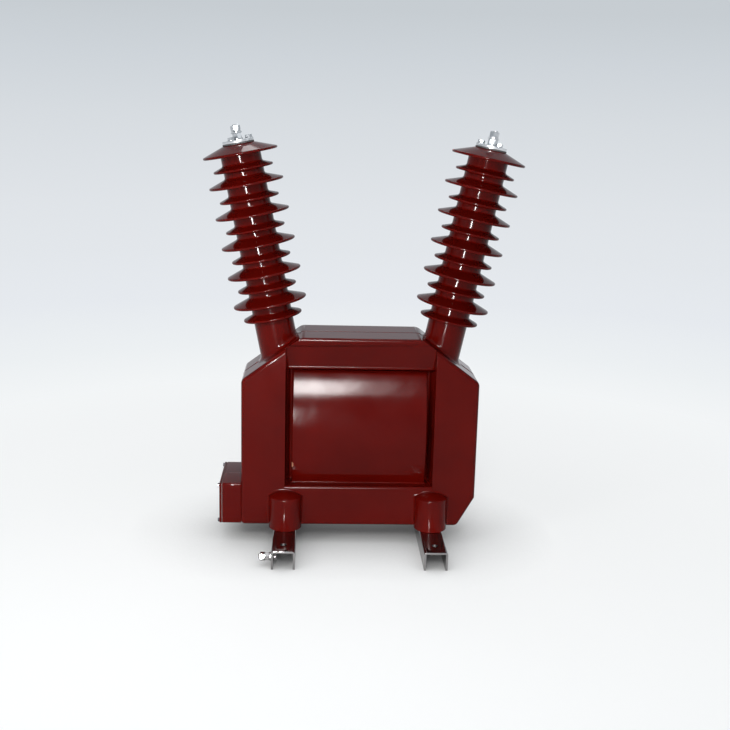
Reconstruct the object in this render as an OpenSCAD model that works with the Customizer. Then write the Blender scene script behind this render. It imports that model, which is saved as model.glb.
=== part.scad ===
// Outdoor cast-resin voltage transformer with two leaning bushings on two base channels.
// Millimetres, +Z up, front toward -Y, origin on the ground under the middle of the body.

/* [Base channels] */
// Width across the two flanges of a channel
channel_w = 50; // [46:1:60]
// Height of a channel
channel_h = 40; // [36:1:50]
// Plate thickness of a channel
channel_wall = 4.5; // [3:0.5:6]
// Outer radius of the folded edges
channel_bend = 6; // [5:0.5:8]
// Length of a channel, front to back
channel_len = 460; // [440:5:520]
// Distance between the two channels, centre to centre
channel_spacing = 320; // [310:1:330]
// Diameter of the mounting holes and of the foot bolt holes
mount_hole_d = 14; // [13:0.5:16]
// Distance between the mounting holes of one channel
mount_hole_spacing = 384; // [370:1:400]

/* [Cast body] */
// Width of the body
body_w = 514; // [500:1:530]
// Front-to-back depth of the body
body_depth = 164; // [160:1:180]
// Height of the body's underside above ground
body_bottom = 42; // [42:1:50]
// Height of the body's flat top
body_top = 462; // [456:1:468]
// Width of the flat top between the two shoulders
top_w = 260; // [240:1:280]
// Height at which the shoulders meet the sides
shoulder_z = 368; // [355:1:380]
// Width of the lower right corner cut
corner_cut_w = 37; // [20:1:45]
// Height of the lower right corner cut
corner_cut_h = 66; // [40:1:70]
// Rounding of the front and rear edges
edge_r = 8; // [4:1:12]
// Rounding of the outline's corners
corner_r = 10; // [4:1:14]

/* [Winding window] */
// Width of the window between the end plates
window_w = 324; // [310:1:330]
// Height of the window's lower edge
window_low = 132; // [130:1:140]
// Height of the lower edge of the leaning panel
panel_low = 388; // [380:1:392]
// How far the panel leans back at its lower edge
panel_lean = 32; // [20:1:36]
// Draft of the window walls, at mid depth
wall_draft = 12; // [4:1:14]
// Radius of the drum's front and rear
drum_r = 300; // [260:5:340]
// Height of the drum's widest line
drum_z = 235; // [230:1:240]
// How far the drum stays behind the end plates
drum_recess = 10; // [6:1:12]

/* [Mounting posts] */
// Diameter of a post
post_d = 72; // [64:1:76]
// Distance between front and rear posts
post_spacing = 168; // [160:1:176]
// Height of a post's top
post_top = 114; // [105:1:120]
// Rounding of a post's upper rim
post_rim_r = 4; // [2:0.5:6]
// Fillet between a post and the body
post_fillet_r = 8; // [4:1:10]

/* [Bushings] */
// Lean of each bushing
bushing_tilt = 11.5; // [10:0.1:13]
// Distance between the two lowest large sheds, centre to centre
bushing_spacing = 399; // [392:1:406]
// Height of the lowest large shed
bushing_z = 527; // [520:1:534]
// Distance from one large shed to the next
shed_pitch = 64.5; // [62:0.5:68]
// Number of large sheds, with one small shed under each
shed_count = 6; // [4:1:6]
// Diameter of the large sheds
large_shed_d = 160; // [150:1:166]
// Diameter of the small sheds
small_shed_d = 128; // [120:1:136]
// Diameter of the stem between the sheds
stem_d = 86; // [80:1:88]
// Slope of a shed's upper face
shed_upper_slope = 20; // [16:1:22]
// Slope of a shed's underside
shed_lower_slope = 5.5; // [3:0.5:8]
// Radius of a shed's rim
shed_tip_r = 3; // [2.5:0.5:4]
// Fillet between a shed and the stem
shed_fillet_r = 5; // [3:0.5:6]
// Diameter of the flat top that carries the terminal
bushing_top_d = 68; // [64:1:70]

/* [Bushing terminals] */
// Thickness of the terminal gasket
terminal_gasket_t = 3; // [2:0.5:4]
// Thickness of the terminal plate
terminal_plate_t = 6; // [5:0.5:8]
// Diameter of the terminal stud's thread
stud_d = 12; // [10:1:12]
// Length of the terminal stud above the plate
stud_out = 35; // [34:1:40]
// Diameter of the plate bolts' thread
plate_bolt_d = 8; // [6:1:8]
// Pitch circle of the plate bolts
plate_bolt_pcd = 48; // [46:1:50]

/* [Secondary terminal box] */
// Distance the box stands out from the body, cover included
box_out = 48; // [46:1:54]
// Distance of the box's front behind the body's front
box_setback = 8; // [8:1:10]
// Height of the box
box_h = 92; // [90:1:100]
// Wall thickness of the box
box_wall = 5; // [4:0.5:6]
// Thickness of the box cover
cover_t = 5; // [4:0.5:6]
// Thickness of the cover gasket
cover_gasket_t = 1.5; // [1:0.5:2]
// Diameter of the cable gland's thread
gland_d = 20; // [18:1:20]
// Diameter of the cable that the gland seals
cable_d = 10; // [8:0.5:11]

/* [Core and windings] */
// Width of the core strip
core_strip_w = 36; // [32:1:38]
// Build-up of the core strip
core_build = 60; // [54:1:62]
// Thickness of the steel band around the core
core_band_t = 1; // [0.8:0.1:1.2]
// Wall of the winding former
former_wall = 2.5; // [2:0.5:3]
// Build-up of the secondary winding
secondary_build = 7; // [5:0.5:8]
// Build-up of the primary winding
primary_build = 25; // [20:1:26]
// Diameter of a primary lead
primary_lead_d = 8; // [6:0.5:10]
// Diameter of a secondary lead
secondary_lead_d = 3; // [2:0.5:4]

/* [Hidden] */
$fn = 96;
resin_red = "#5a0f0b";
zinc = "#c9ccce";
brass = "#c7a24b";
copper = "#b06a3b";
black_rubber = "#222222";
core_grey = "#4c4f52";
varnish_tan = "#a8854f";
board_brown = "#5b3a22";
gland_black = "#2b2b2d";

// Clearances
fit_gap = 0.2;
cut_over = 1;
cast_gap = 0.3;
hole_gap = 1;
elbow_growth = 1.2;

// Metric hardware
m12 = 12;
m10 = 10;
m6 = 6;
m5 = 5;
m12_flats = 18;
m12_nut_h = 10.8;
m12_head_h = 7.5;
m10_flats = 16;
m10_nut_h = 8.4;
m10_head_h = 6.4;
m8_flats = 13;
m8_head_h = 5.3;
m6_flats = 10;
m6_nut_h = 5;
m5_flats = 8;
m5_head_h = 3.5;
m12_washer = [24, 2.5];
m10_washer = [20, 2];
m8_washer = [16, 1.6];
m6_washer = [12, 1.6];
m12_spring = [20.5, 3];
m10_spring = [17.5, 2.6];

// Body
half_w = body_w / 2;
half_d = body_depth / 2;
half_top = top_w / 2;
half_window = window_w / 2;
reach = 2000;
body_outline = [
    [-half_w, body_bottom],
    [half_w - corner_cut_w, body_bottom],
    [half_w, body_bottom + corner_cut_h],
    [half_w, shoulder_z],
    [half_top, body_top],
    [-half_top, body_top],
    [-half_w, shoulder_z]
];
drum_half_d = half_d - drum_recess;
bar_edge_r = 4;
post_x = channel_spacing / 2;
post_y = post_spacing / 2;
post_r = post_d / 2;

// Bushings
large_r = large_shed_d / 2;
small_r = small_shed_d / 2;
stem_r = stem_d / 2;
bushing_top_r = bushing_top_d / 2;
stem_foot_rise = 31.6;
stem_low = (shoulder_z + stem_foot_rise - bushing_z) / cos(bushing_tilt);
fillet_steps = 4;
tip_steps = 7;
top_shed_t = (shed_count - 1) * shed_pitch;
bushing_top_t = top_shed_t + shed_line(large_r, bushing_top_r);

// Bushing terminals
stud_insert_d = 28;
stud_insert_len = 40;
stud_in = 28;
plate_insert_d = 14;
plate_insert_len = 25;
plate_bolt_in = 18;
plate_z = bushing_top_t + terminal_gasket_t;
stack_z = plate_z + terminal_plate_t;
lower_nut_z = stack_z + m12_washer[1];
upper_washer_z = lower_nut_z + m12_nut_h;
spring_z = upper_washer_z + m12_washer[1];
upper_nut_z = spring_z + m12_spring[1];

// Feet
foot_insert_d = 22;
foot_insert_len = 45;
foot_thread_len = 40;
foot_bolt_in = 32;
web_under = channel_h - channel_wall;
foot_spring_z = web_under - m12_washer[1];
foot_head_z = foot_spring_z - m12_spring[1];

// Earth bolt
earth_y = -channel_len / 2 + 24;
earth_z = channel_h / 2;
flange_x = -post_x - channel_w / 2;
earth_nut_x = m10_washer[1] + m10_spring[1];
earth_outer_x = earth_nut_x + m10_nut_h;
earth_bolt_spare = 3;
earth_bolt_out = earth_outer_x + m10_washer[1] + m10_nut_h + earth_bolt_spare;

// Core and windings: one limb lies in the drum, the other in the lower bar
leg_cover = 41;
yoke_cover = 15;
limb_z = drum_z;
yoke_z = body_bottom + yoke_cover + core_build / 2;
leg_x = half_w - leg_cover - core_build / 2;
core_bend_r = 12;
band_w = 20;
former_len = 260;
secondary_len = 248;
primary_len = 224;
limb_half = [core_strip_w / 2, core_build / 2];
former_in = core_band_t + 2 * fit_gap;
former_out = former_in + former_wall;
secondary_in = former_out + fit_gap;
secondary_out = secondary_in + secondary_build;
barrier = 3;
primary_in = secondary_out + barrier;
primary_out = primary_in + primary_build;
primary_lead_inset = 15;
primary_lead_bend_drop = 55;
primary_lead_bend_t = stem_low - primary_lead_bend_drop;
thread_spare = 2;
disc_step = 1;

// Secondary terminal box, open toward -X
box_y0 = -half_d + box_setback;
box_y1 = half_d;
box_z0 = body_bottom;
box_z1 = body_bottom + box_h;
cover_x = -half_w - box_out;
box_rim_x = cover_x + cover_t + cover_gasket_t;
box_floor_x = -half_w - box_wall;
boss_w = 12;
box_corner_r = 4;
box_mid_y = (box_y0 + box_y1) / 2;
box_mid_z = (box_z0 + box_z1) / 2;
cover_screw_len = 18;
box_screw_len = 18;
box_insert_d = 9;
box_insert_len = 15;
board_t = 8;
board_size = [56, 52];
board_inset = 12;
board_screw_inset = 6;
stud_spacing = 24;
board_y = [box_y1 - board_inset - board_size[0], box_y1 - board_inset];
board_z = [box_mid_z - board_size[1] / 2, box_mid_z + board_size[1] / 2];
board_mid_y = (board_y[0] + board_y[1]) / 2;
secondary_y = [board_mid_y - stud_spacing / 2, board_mid_y + stud_spacing / 2];
secondary_z = [box_mid_z - stud_spacing / 2, box_mid_z + stud_spacing / 2];
secondary_out_x = 18;
secondary_stud_x = -half_w + 8;
lead_step = 12;
board_screw_at = [
    for (y = [board_y[0] + board_screw_inset, board_y[1] - board_screw_inset])
        [y, box_mid_z]
];
box_screw_from_front = [24, 64];
box_screw_from_edge = 16;
box_screw_at = [
    for (y = box_screw_from_front)
        for (z = [box_z0 + box_screw_from_edge, box_z1 - box_screw_from_edge])
            [box_y0 + y, z]
];
gland_from_front = 70;
gland_at = [(box_rim_x + box_floor_x) / 2, box_y0 + gland_from_front];
gland_thread_spare = 4;
gland_bore_gap = 2;
gasket_inset = 0.5;
gland_hex_flats = 26;
gland_hex_h = 6;
gland_tail_d = 22;
gland_tail_len = 12;
gland_seal_d = 17;
gland_seal_len = 10;
gland_nut_h = 5;
gland_cap_flats = 28;
gland_cap_h = 14;
gland_cap_floor = 3;
gland_len = gland_tail_len + gland_hex_h + box_wall + gland_nut_h + gland_thread_spare;

// Height of a shed's upper face above its rim centre, at distance r from the axis
function shed_line(rim_r, r) = shed_tip_r / cos(shed_upper_slope)
    + (rim_r - shed_tip_r - r) * tan(shed_upper_slope);

// Height of a shed's underside above its rim centre, at distance r from the axis
function shed_under(rim_r, r) = -shed_tip_r / cos(shed_lower_slope)
    + (rim_r - shed_tip_r - r) * tan(shed_lower_slope);

function unit(v) = v / norm(v);

// Points of an arc about c, from angle a to angle b
function arc(c, r, a, b, steps) = [
    for (i = [0:steps])
        let (turn = a + (b - a) * i / steps)
        c + r * [cos(turn), sin(turn)]
];

// Outward normal of the outline's edge from p to q
function edge_normal(p, q) = unit([q[1] - p[1], p[0] - q[0]]);

// A convex outline with exact arcs at its corners
module rounded_outline(points, r) {
    last = len(points) - 1;
    corners = [
        for (i = [0:last])
            let (
                v = points[i],
                a = unit(points[i == 0 ? last : i - 1] - v),
                b = unit(points[i == last ? 0 : i + 1] - v),
                half = acos(a * b) / 2,
                cut = r / tan(half)
            )
            [v + a * cut, v + b * cut, v + unit(a + b) * r / sin(half)]
    ];
    polygon([for (c = corners) each [c[0], c[1]]]);
    for (c = corners)
        translate(c[2]) circle(r);
}

module rounded_rect(size, r) {
    half = size / 2;
    square([size[0] - 2 * r, size[1]], center = true);
    square([size[0], size[1] - 2 * r], center = true);
    for (x = [-1, 1], y = [-1, 1])
        translate([x * (half[0] - r), y * (half[1] - r)]) circle(r);
}

module hexagon(flats) {
    circle(d = flats / cos(30), $fn = 6);
}

module hex_nut(flats, h, bore_d) {
    linear_extrude(h)
        difference() {
            hexagon(flats);
            circle(d = bore_d);
        }
}

module ring(outer_d, inner_d, h) {
    linear_extrude(h)
        difference() {
            circle(d = outer_d);
            circle(d = inner_d);
        }
}

// A split spring washer
module spring_ring(size, bore_d) {
    slot_w = 1.5;
    linear_extrude(size[1])
        difference() {
            circle(d = size[0]);
            circle(d = bore_d);
            translate([0, -slot_w / 2]) square([size[0], slot_w]);
        }
}

// A bolt with its head below z = 0 and its shank above
module hex_bolt(flats, head_h, d, length) {
    translate([0, 0, -head_h]) linear_extrude(head_h) hexagon(flats);
    cylinder(d = d, h = length);
}

// A wire through the given points, with a bead at each elbow
module wire(points, d) {
    for (i = [0:len(points) - 2]) {
        run = points[i + 1] - points[i];
        translate(points[i])
            rotate([0, acos(run[2] / norm(run)), atan2(run[1], run[0])])
                cylinder(d = d, h = norm(run));
    }
    for (i = [1:1:len(points) - 2])
        translate(points[i]) sphere(d = d * elbow_growth);
}

// Puts its children on a bushing's axis, with the lowest large shed at z = 0
module on_bushing(side) {
    translate([side * bushing_spacing / 2, 0, bushing_z])
        rotate([0, side * bushing_tilt, 0]) children();
}

// The three plate bolts: one on the inner side, two on the outer
module at_plate_bolts(side) {
    for (turn = [0, 120, 240])
        rotate([0, 0, turn + (side < 0 ? 0 : 180)])
            translate([plate_bolt_pcd / 2, 0, 0]) children();
}

module at_posts() {
    for (x = [-1, 1], y = [-1, 1])
        translate([x * post_x, y * post_y, 0]) children();
}

// Turns +Z toward -X at a place on the box's side
module facing_left(at, x) {
    translate([x, at[0], at[1]]) rotate([0, -90, 0]) children();
}

// Cross section of the slab whose outer face lies h from the origin, with rounded edges
module slab_section(h) {
    translate([-reach, -half_d]) square([reach + h - edge_r, body_depth]);
    translate([-reach, -half_d + edge_r]) square([reach + h, body_depth - 2 * edge_r]);
    for (y = [-1, 1])
        translate([h - edge_r, y * (half_d - edge_r)]) circle(edge_r);
}

// The body's outer block, its outline rounded along every front and rear edge
module body_block() {
    last = len(body_outline) - 1;
    intersection() {
        rotate([90, 0, 0])
            linear_extrude(body_depth, center = true) rounded_outline(body_outline, corner_r);
        intersection_for (i = [0:last]) {
            p = body_outline[i];
            n = edge_normal(p, body_outline[i == last ? 0 : i + 1]);
            rotate([0, -atan2(n[1], n[0]), 0])
                linear_extrude(reach, center = true) slab_section(p * n);
        }
    }
}

module end_plates() {
    for (side = [-1, 1])
        linear_extrude(reach)
            polygon([
                [side * half_window, -half_d], [side * half_w, -half_d],
                [side * half_w, half_d], [side * half_window, half_d],
                [side * (half_window - wall_draft), 0]
            ]);
}

// Section of the body's middle, across the drum
module middle_section() {
    polygon([
        [panel_lean - half_d, panel_low], [half_d - panel_lean, panel_low],
        [half_d, body_top], [-half_d, body_top]
    ]);
    intersection() {
        translate([drum_r - drum_half_d, drum_z]) circle(drum_r);
        translate([drum_half_d - drum_r, drum_z]) circle(drum_r);
    }
    translate([-half_d, body_bottom]) square([body_depth, window_low - bar_edge_r - body_bottom]);
    translate([bar_edge_r - half_d, body_bottom])
        square([body_depth - 2 * bar_edge_r, window_low - body_bottom]);
    for (side = [-1, 1])
        translate([side * (half_d - bar_edge_r), window_low - bar_edge_r]) circle(bar_edge_r);
}

module post_shape() {
    rotate_extrude() {
        square([post_r, post_top - channel_h - post_rim_r]);
        square([post_r - post_rim_r, post_top - channel_h]);
        translate([post_r - post_rim_r, post_top - channel_h - post_rim_r]) circle_quarter(post_rim_r);
    }
}

module circle_quarter(r) {
    intersection() {
        circle(r);
        square(r);
    }
}

// The fillets that join a post to the body's face, which lies toward +Y
module post_fillets() {
    face = post_y - half_d;
    fillet_x = sqrt(pow(post_r + post_fillet_r, 2) - pow(face - post_fillet_r, 2));
    centre = [fillet_x, face - post_fillet_r + fit_gap];
    curve = arc(centre, post_fillet_r, atan2(-centre[1], -centre[0]), 90, fillet_steps);
    outline = concat([[0, face + edge_r], [0, 0]], curve, [[fillet_x, face + edge_r]]);
    for (side = [-1, 1])
        polygon([for (p = outline) [side * p[0], p[1]]]);
}

module posts() {
    at_posts() translate([0, 0, channel_h]) post_shape();
    for (x = [-1, 1], turn = [0, 180])
        rotate(turn)
            translate([x * post_x, -post_y, body_bottom])
                linear_extrude(post_top - post_rim_r - body_bottom) post_fillets();
}

// Outline of one shed from the stem below it to the stem above, its rim centre at height t
function shed_outline(rim_r, t) = let (
    up = shed_upper_slope,
    low = shed_lower_slope,
    drop = shed_fillet_r * (1 + sin(low)) / cos(low),
    rise = shed_fillet_r * (1 - sin(up)) / cos(up),
    under = [stem_r + shed_fillet_r, t + shed_under(rim_r, stem_r) - drop],
    over = [stem_r + shed_fillet_r, t + shed_line(rim_r, stem_r) + rise]
) concat(
    arc(under, shed_fillet_r, 180, 90 - low, fillet_steps),
    arc([rim_r - shed_tip_r, t], shed_tip_r, -90 - low, 90 - up, tip_steps),
    arc(over, shed_fillet_r, 270 - up, 180, fillet_steps)
);

// The top shed runs on as a cone to the flat that carries the terminal
function head_outline(t) = let (
    outline = shed_outline(large_r, t)
) concat(
    [for (i = [0:fillet_steps + tip_steps + 1]) outline[i]],
    [[bushing_top_r, bushing_top_t], [0, bushing_top_t]]
);

module bushing() {
    rotate_extrude()
        polygon(concat(
            [[0, stem_low], [stem_r, stem_low]],
            [
                for (i = [0:shed_count - 1])
                    each concat(
                        shed_outline(small_r, (i - 0.5) * shed_pitch),
                        i < shed_count - 1 ? shed_outline(large_r, i * shed_pitch) : head_outline(top_shed_t)
                    )
            ]
        ));
}

// Straight leads from the cast-in ends of the secondary studs to the secondary winding
module secondary_paths(d) {
    for (i = [0, 1], j = [0, 1])
        wire([
            [secondary_stud_x + secondary_lead_d / 2, secondary_y[i], secondary_z[j]],
            [
                -secondary_len / 2 - secondary_lead_d / 2,
                limb_half[0] + (secondary_in + secondary_out) / 2,
                limb_z + lead_step * (2 * i + j - 1.5)
            ]
        ], d);
}

module primary_path(side, d) {
    top = bushing_top_t - stud_insert_len;
    low = primary_lead_bend_t;
    axis_x = side * bushing_spacing / 2;
    wire([
        [axis_x + side * top * sin(bushing_tilt), 0, bushing_z + top * cos(bushing_tilt)],
        [axis_x + side * low * sin(bushing_tilt), 0, bushing_z + low * cos(bushing_tilt)],
        [
            side * (primary_len / 2 - primary_lead_inset),
            0,
            limb_z + limb_half[1] + primary_out + primary_lead_d / 2
        ]
    ], d);
}

// A rectangular tube section around the core limb, given by its growth from the limb
module limb_section(grow) {
    rounded_rect(2 * limb_half + 2 * [grow, grow], grow);
}

module around_limb(length) {
    translate([0, 0, limb_z]) rotate([90, 0, 90]) linear_extrude(length, center = true) children();
}

module core_outline(grow) {
    size = [2 * leg_x + core_build, limb_z - yoke_z + core_build];
    translate([0, (limb_z + yoke_z) / 2])
        rounded_rect(size + 2 * [grow, grow], core_bend_r + grow);
}

module core_window(grow) {
    size = [2 * leg_x - core_build, limb_z - yoke_z - core_build];
    translate([0, (limb_z + yoke_z) / 2]) square(size + 2 * [grow, grow], center = true);
}

module core_ring(grow) {
    rotate([90, 0, 0])
        linear_extrude(core_strip_w + 2 * max(grow, 0), center = true)
            difference() {
                core_outline(grow);
                core_window(-grow);
            }
}

module core_half(side) {
    intersection() {
        core_ring(0);
        translate([side * reach / 2, 0, 0])
            cube([reach - fit_gap, reach, reach], center = true);
    }
}

// Room that the casting leaves for what it encloses
module enclosed_parts() {
    core_ring(cast_gap);
    rotate([90, 0, 0])
        linear_extrude(band_w + 2 * cast_gap, center = true) core_outline(core_band_t + 2 * cast_gap);
    for (coil = [[former_len, former_out], [secondary_len, secondary_out], [primary_len, primary_out]])
        around_limb(coil[0] + 2 * cast_gap) limb_section(coil[1] + cast_gap);
    secondary_paths(secondary_lead_d + 2 * cast_gap);
    for (side = [-1, 1]) {
        primary_path(side, primary_lead_d + 2 * cast_gap);
        on_bushing(side) {
            translate([0, 0, bushing_top_t - stud_insert_len - cast_gap])
                cylinder(d = stud_insert_d + 2 * cast_gap, h = stud_insert_len + cut_over);
            at_plate_bolts(side)
                translate([0, 0, bushing_top_t - plate_insert_len - cast_gap])
                    cylinder(d = plate_insert_d + 2 * cast_gap, h = plate_insert_len + cut_over);
        }
    }
    at_posts()
        translate([0, 0, channel_h - cut_over])
            cylinder(d = foot_insert_d + 2 * cast_gap, h = foot_insert_len + cut_over + cast_gap);
    for (at = concat(box_screw_at, board_screw_at))
        facing_left(at, -half_w + box_insert_len + cast_gap)
            cylinder(d = box_insert_d + 2 * cast_gap, h = box_insert_len + cut_over);
    at_secondary(secondary_stud_x + cast_gap)
        cylinder(d = m6 + 2 * cast_gap, h = secondary_stud_x + half_w + cut_over);
}

module resin_body() {
    color(resin_red)
        difference() {
            union() {
                intersection() {
                    body_block();
                    union() {
                        end_plates();
                        rotate([90, 0, 90])
                            linear_extrude(window_w, center = true) middle_section();
                    }
                }
                posts();
                for (side = [-1, 1])
                    on_bushing(side) bushing();
            }
            enclosed_parts();
        }
}

module core_half_left() {
    color(core_grey) core_half(-1);
}

module core_half_right() {
    color(core_grey) core_half(1);
}

module core_band() {
    color(zinc)
        rotate([90, 0, 0])
            linear_extrude(band_w, center = true)
                difference() {
                    core_outline(core_band_t + fit_gap);
                    core_outline(fit_gap);
                }
}

module winding_former() {
    color(varnish_tan)
        around_limb(former_len)
            difference() {
                limb_section(former_out);
                square(2 * limb_half + 2 * [former_in, former_in], center = true);
            }
}

module secondary_winding() {
    color(copper)
        around_limb(secondary_len)
            difference() {
                limb_section(secondary_out);
                limb_section(secondary_in);
            }
}

module primary_winding() {
    color(copper)
        around_limb(primary_len)
            difference() {
                limb_section(primary_out);
                limb_section(secondary_out + fit_gap);
            }
}

module primary_lead_left() {
    color(copper) primary_path(-1, primary_lead_d);
}

module primary_lead_right() {
    color(copper) primary_path(1, primary_lead_d);
}

module secondary_leads() {
    color(copper) secondary_paths(secondary_lead_d);
}

module stud_inserts() {
    color(brass)
        for (side = [-1, 1])
            on_bushing(side)
                translate([0, 0, bushing_top_t - stud_insert_len])
                    difference() {
                        cylinder(d = stud_insert_d, h = stud_insert_len);
                        translate([0, 0, stud_insert_len - stud_in - thread_spare])
                            cylinder(d = stud_d + 2 * fit_gap, h = stud_in + thread_spare + cut_over);
                    }
}

module plate_inserts() {
    color(brass)
        for (side = [-1, 1])
            on_bushing(side)
                at_plate_bolts(side)
                    translate([0, 0, bushing_top_t - plate_insert_len])
                        difference() {
                            cylinder(d = plate_insert_d, h = plate_insert_len);
                            translate([0, 0, plate_insert_len - plate_bolt_in - thread_spare])
                                cylinder(
                                    d = plate_bolt_d + 2 * fit_gap,
                                    h = plate_bolt_in + thread_spare + cut_over
                                );
                        }
}

// A disc drilled for the stud and the plate bolts
module terminal_disc(side, z, t) {
    on_bushing(side)
        translate([0, 0, z])
            difference() {
                cylinder(d = bushing_top_d - disc_step, h = t);
                translate([0, 0, -cut_over]) cylinder(d = stud_d + hole_gap, h = t + 2 * cut_over);
                at_plate_bolts(side)
                    translate([0, 0, -cut_over])
                        cylinder(d = plate_bolt_d + hole_gap, h = t + 2 * cut_over);
            }
}

module terminal_gaskets() {
    color(black_rubber)
        for (side = [-1, 1])
            terminal_disc(side, bushing_top_t, terminal_gasket_t);
}

module terminal_plate_left() {
    color(zinc) terminal_disc(-1, plate_z, terminal_plate_t);
}

module terminal_plate_right() {
    color(zinc) terminal_disc(1, plate_z, terminal_plate_t);
}

module plate_bolts() {
    grip = terminal_plate_t + terminal_gasket_t + m8_washer[1];
    color(zinc)
        for (side = [-1, 1])
            on_bushing(side)
                at_plate_bolts(side)
                    translate([0, 0, stack_z + m8_washer[1]])
                        mirror([0, 0, 1]) hex_bolt(m8_flats, m8_head_h, plate_bolt_d, grip + plate_bolt_in);
}

module plate_bolt_washers() {
    color(zinc)
        for (side = [-1, 1])
            on_bushing(side)
                at_plate_bolts(side)
                    translate([0, 0, stack_z])
                        ring(m8_washer[0], plate_bolt_d + 2 * fit_gap, m8_washer[1]);
}

module terminal_studs() {
    color(zinc)
        for (side = [-1, 1])
            on_bushing(side)
                translate([0, 0, bushing_top_t - stud_in])
                    cylinder(d = stud_d, h = stack_z + stud_out - bushing_top_t + stud_in);
}

module terminal_washers() {
    color(zinc)
        for (side = [-1, 1], z = [stack_z, upper_washer_z])
            on_bushing(side)
                translate([0, 0, z]) ring(m12_washer[0], stud_d + 2 * fit_gap, m12_washer[1]);
}

module terminal_lower_nuts() {
    color(zinc)
        for (side = [-1, 1])
            on_bushing(side)
                translate([0, 0, lower_nut_z]) hex_nut(m12_flats, m12_nut_h, stud_d + 2 * fit_gap);
}

module terminal_spring_washers() {
    color(zinc)
        for (side = [-1, 1])
            on_bushing(side)
                translate([0, 0, spring_z]) spring_ring(m12_spring, stud_d + 2 * fit_gap);
}

module terminal_upper_nuts() {
    color(zinc)
        for (side = [-1, 1])
            on_bushing(side)
                translate([0, 0, upper_nut_z]) hex_nut(m12_flats, m12_nut_h, stud_d + 2 * fit_gap);
}

module foot_inserts() {
    color(brass)
        at_posts()
            translate([0, 0, channel_h])
                difference() {
                    cylinder(d = foot_insert_d, h = foot_insert_len);
                    translate([0, 0, -cut_over])
                        cylinder(d = m12 + 2 * fit_gap, h = foot_thread_len + cut_over);
                }
}

module foot_bolts() {
    color(zinc)
        at_posts()
            translate([0, 0, foot_head_z])
                hex_bolt(m12_flats, m12_head_h, m12, channel_h - foot_head_z + foot_bolt_in);
}

module foot_washers() {
    color(zinc)
        at_posts()
            translate([0, 0, foot_spring_z]) ring(m12_washer[0], m12 + 2 * fit_gap, m12_washer[1]);
}

module foot_spring_washers() {
    color(zinc)
        at_posts()
            translate([0, 0, foot_head_z]) spring_ring(m12_spring, m12 + 2 * fit_gap);
}

// Section of a channel, web on top
module channel_section() {
    inner_r = channel_bend - channel_wall;
    bend_x = channel_w / 2 - channel_bend;
    bend_z = channel_h - channel_bend;
    difference() {
        union() {
            translate([-channel_w / 2, 0]) square([channel_w, bend_z]);
            translate([-bend_x, 0]) square([2 * bend_x, channel_h]);
            for (x = [-1, 1])
                translate([x * bend_x, bend_z]) circle(channel_bend);
        }
        difference() {
            translate([channel_wall - channel_w / 2, -cut_over])
                square([channel_w - 2 * channel_wall, channel_h - channel_wall + cut_over]);
            for (x = [-1, 1])
                difference() {
                    translate([x * (bend_x + inner_r / 2), bend_z + inner_r / 2])
                        square(inner_r, center = true);
                    translate([x * bend_x, bend_z]) circle(inner_r);
                }
        }
    }
}

module base_channel(side) {
    translate([side * post_x, 0, 0])
        difference() {
            rotate([90, 0, 0]) linear_extrude(channel_len, center = true) channel_section();
            for (y = [-mount_hole_spacing / 2, mount_hole_spacing / 2, -post_y, post_y])
                translate([0, y, channel_h - channel_wall - cut_over])
                    cylinder(d = mount_hole_d, h = channel_wall + 2 * cut_over);
        }
}

module base_channel_left() {
    color(zinc)
        difference() {
            base_channel(-1);
            facing_left([earth_y, earth_z], flange_x + channel_wall + cut_over)
                cylinder(d = m10 + hole_gap, h = channel_wall + 2 * cut_over);
        }
}

module base_channel_right() {
    color(zinc) base_channel(1);
}

// Puts its children on the earth bolt's axis, with the flange's outer face at z = 0
module on_earth_bolt() {
    facing_left([earth_y, earth_z], flange_x) children();
}

module earth_bolt() {
    color(zinc)
        on_earth_bolt()
            translate([0, 0, -channel_wall])
                hex_bolt(m10_flats, m10_head_h, m10, channel_wall + earth_bolt_out);
}

module earth_washers() {
    color(zinc)
        on_earth_bolt()
            for (z = [0, earth_outer_x])
                translate([0, 0, z]) ring(m10_washer[0], m10 + 2 * fit_gap, m10_washer[1]);
}

module earth_spring_washer() {
    color(zinc)
        on_earth_bolt()
            translate([0, 0, m10_washer[1]]) spring_ring(m10_spring, m10 + 2 * fit_gap);
}

module earth_nuts() {
    color(zinc)
        on_earth_bolt()
            for (z = [earth_nut_x, earth_outer_x + m10_washer[1]])
                translate([0, 0, z]) hex_nut(m10_flats, m10_nut_h, m10 + 2 * fit_gap);
}

// Box-shaped outline seen from the left, shrunk by inset
module box_section(inset, r) {
    translate([box_mid_y, box_mid_z])
        rounded_rect([box_y1 - box_y0 - 2 * inset, box_h - 2 * inset], r);
}

// Extrudes a section given in (y, z) from x0 to x1
module along_x(x0, x1) {
    translate([x0, 0, 0]) rotate([90, 0, 90]) linear_extrude(x1 - x0) children();
}

function cover_screw_places() = [
    for (y = [box_y0 + boss_w / 2, box_y1 - boss_w / 2])
        for (z = [box_z0 + boss_w / 2, box_z1 - boss_w / 2])
            [y, z]
];

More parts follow.
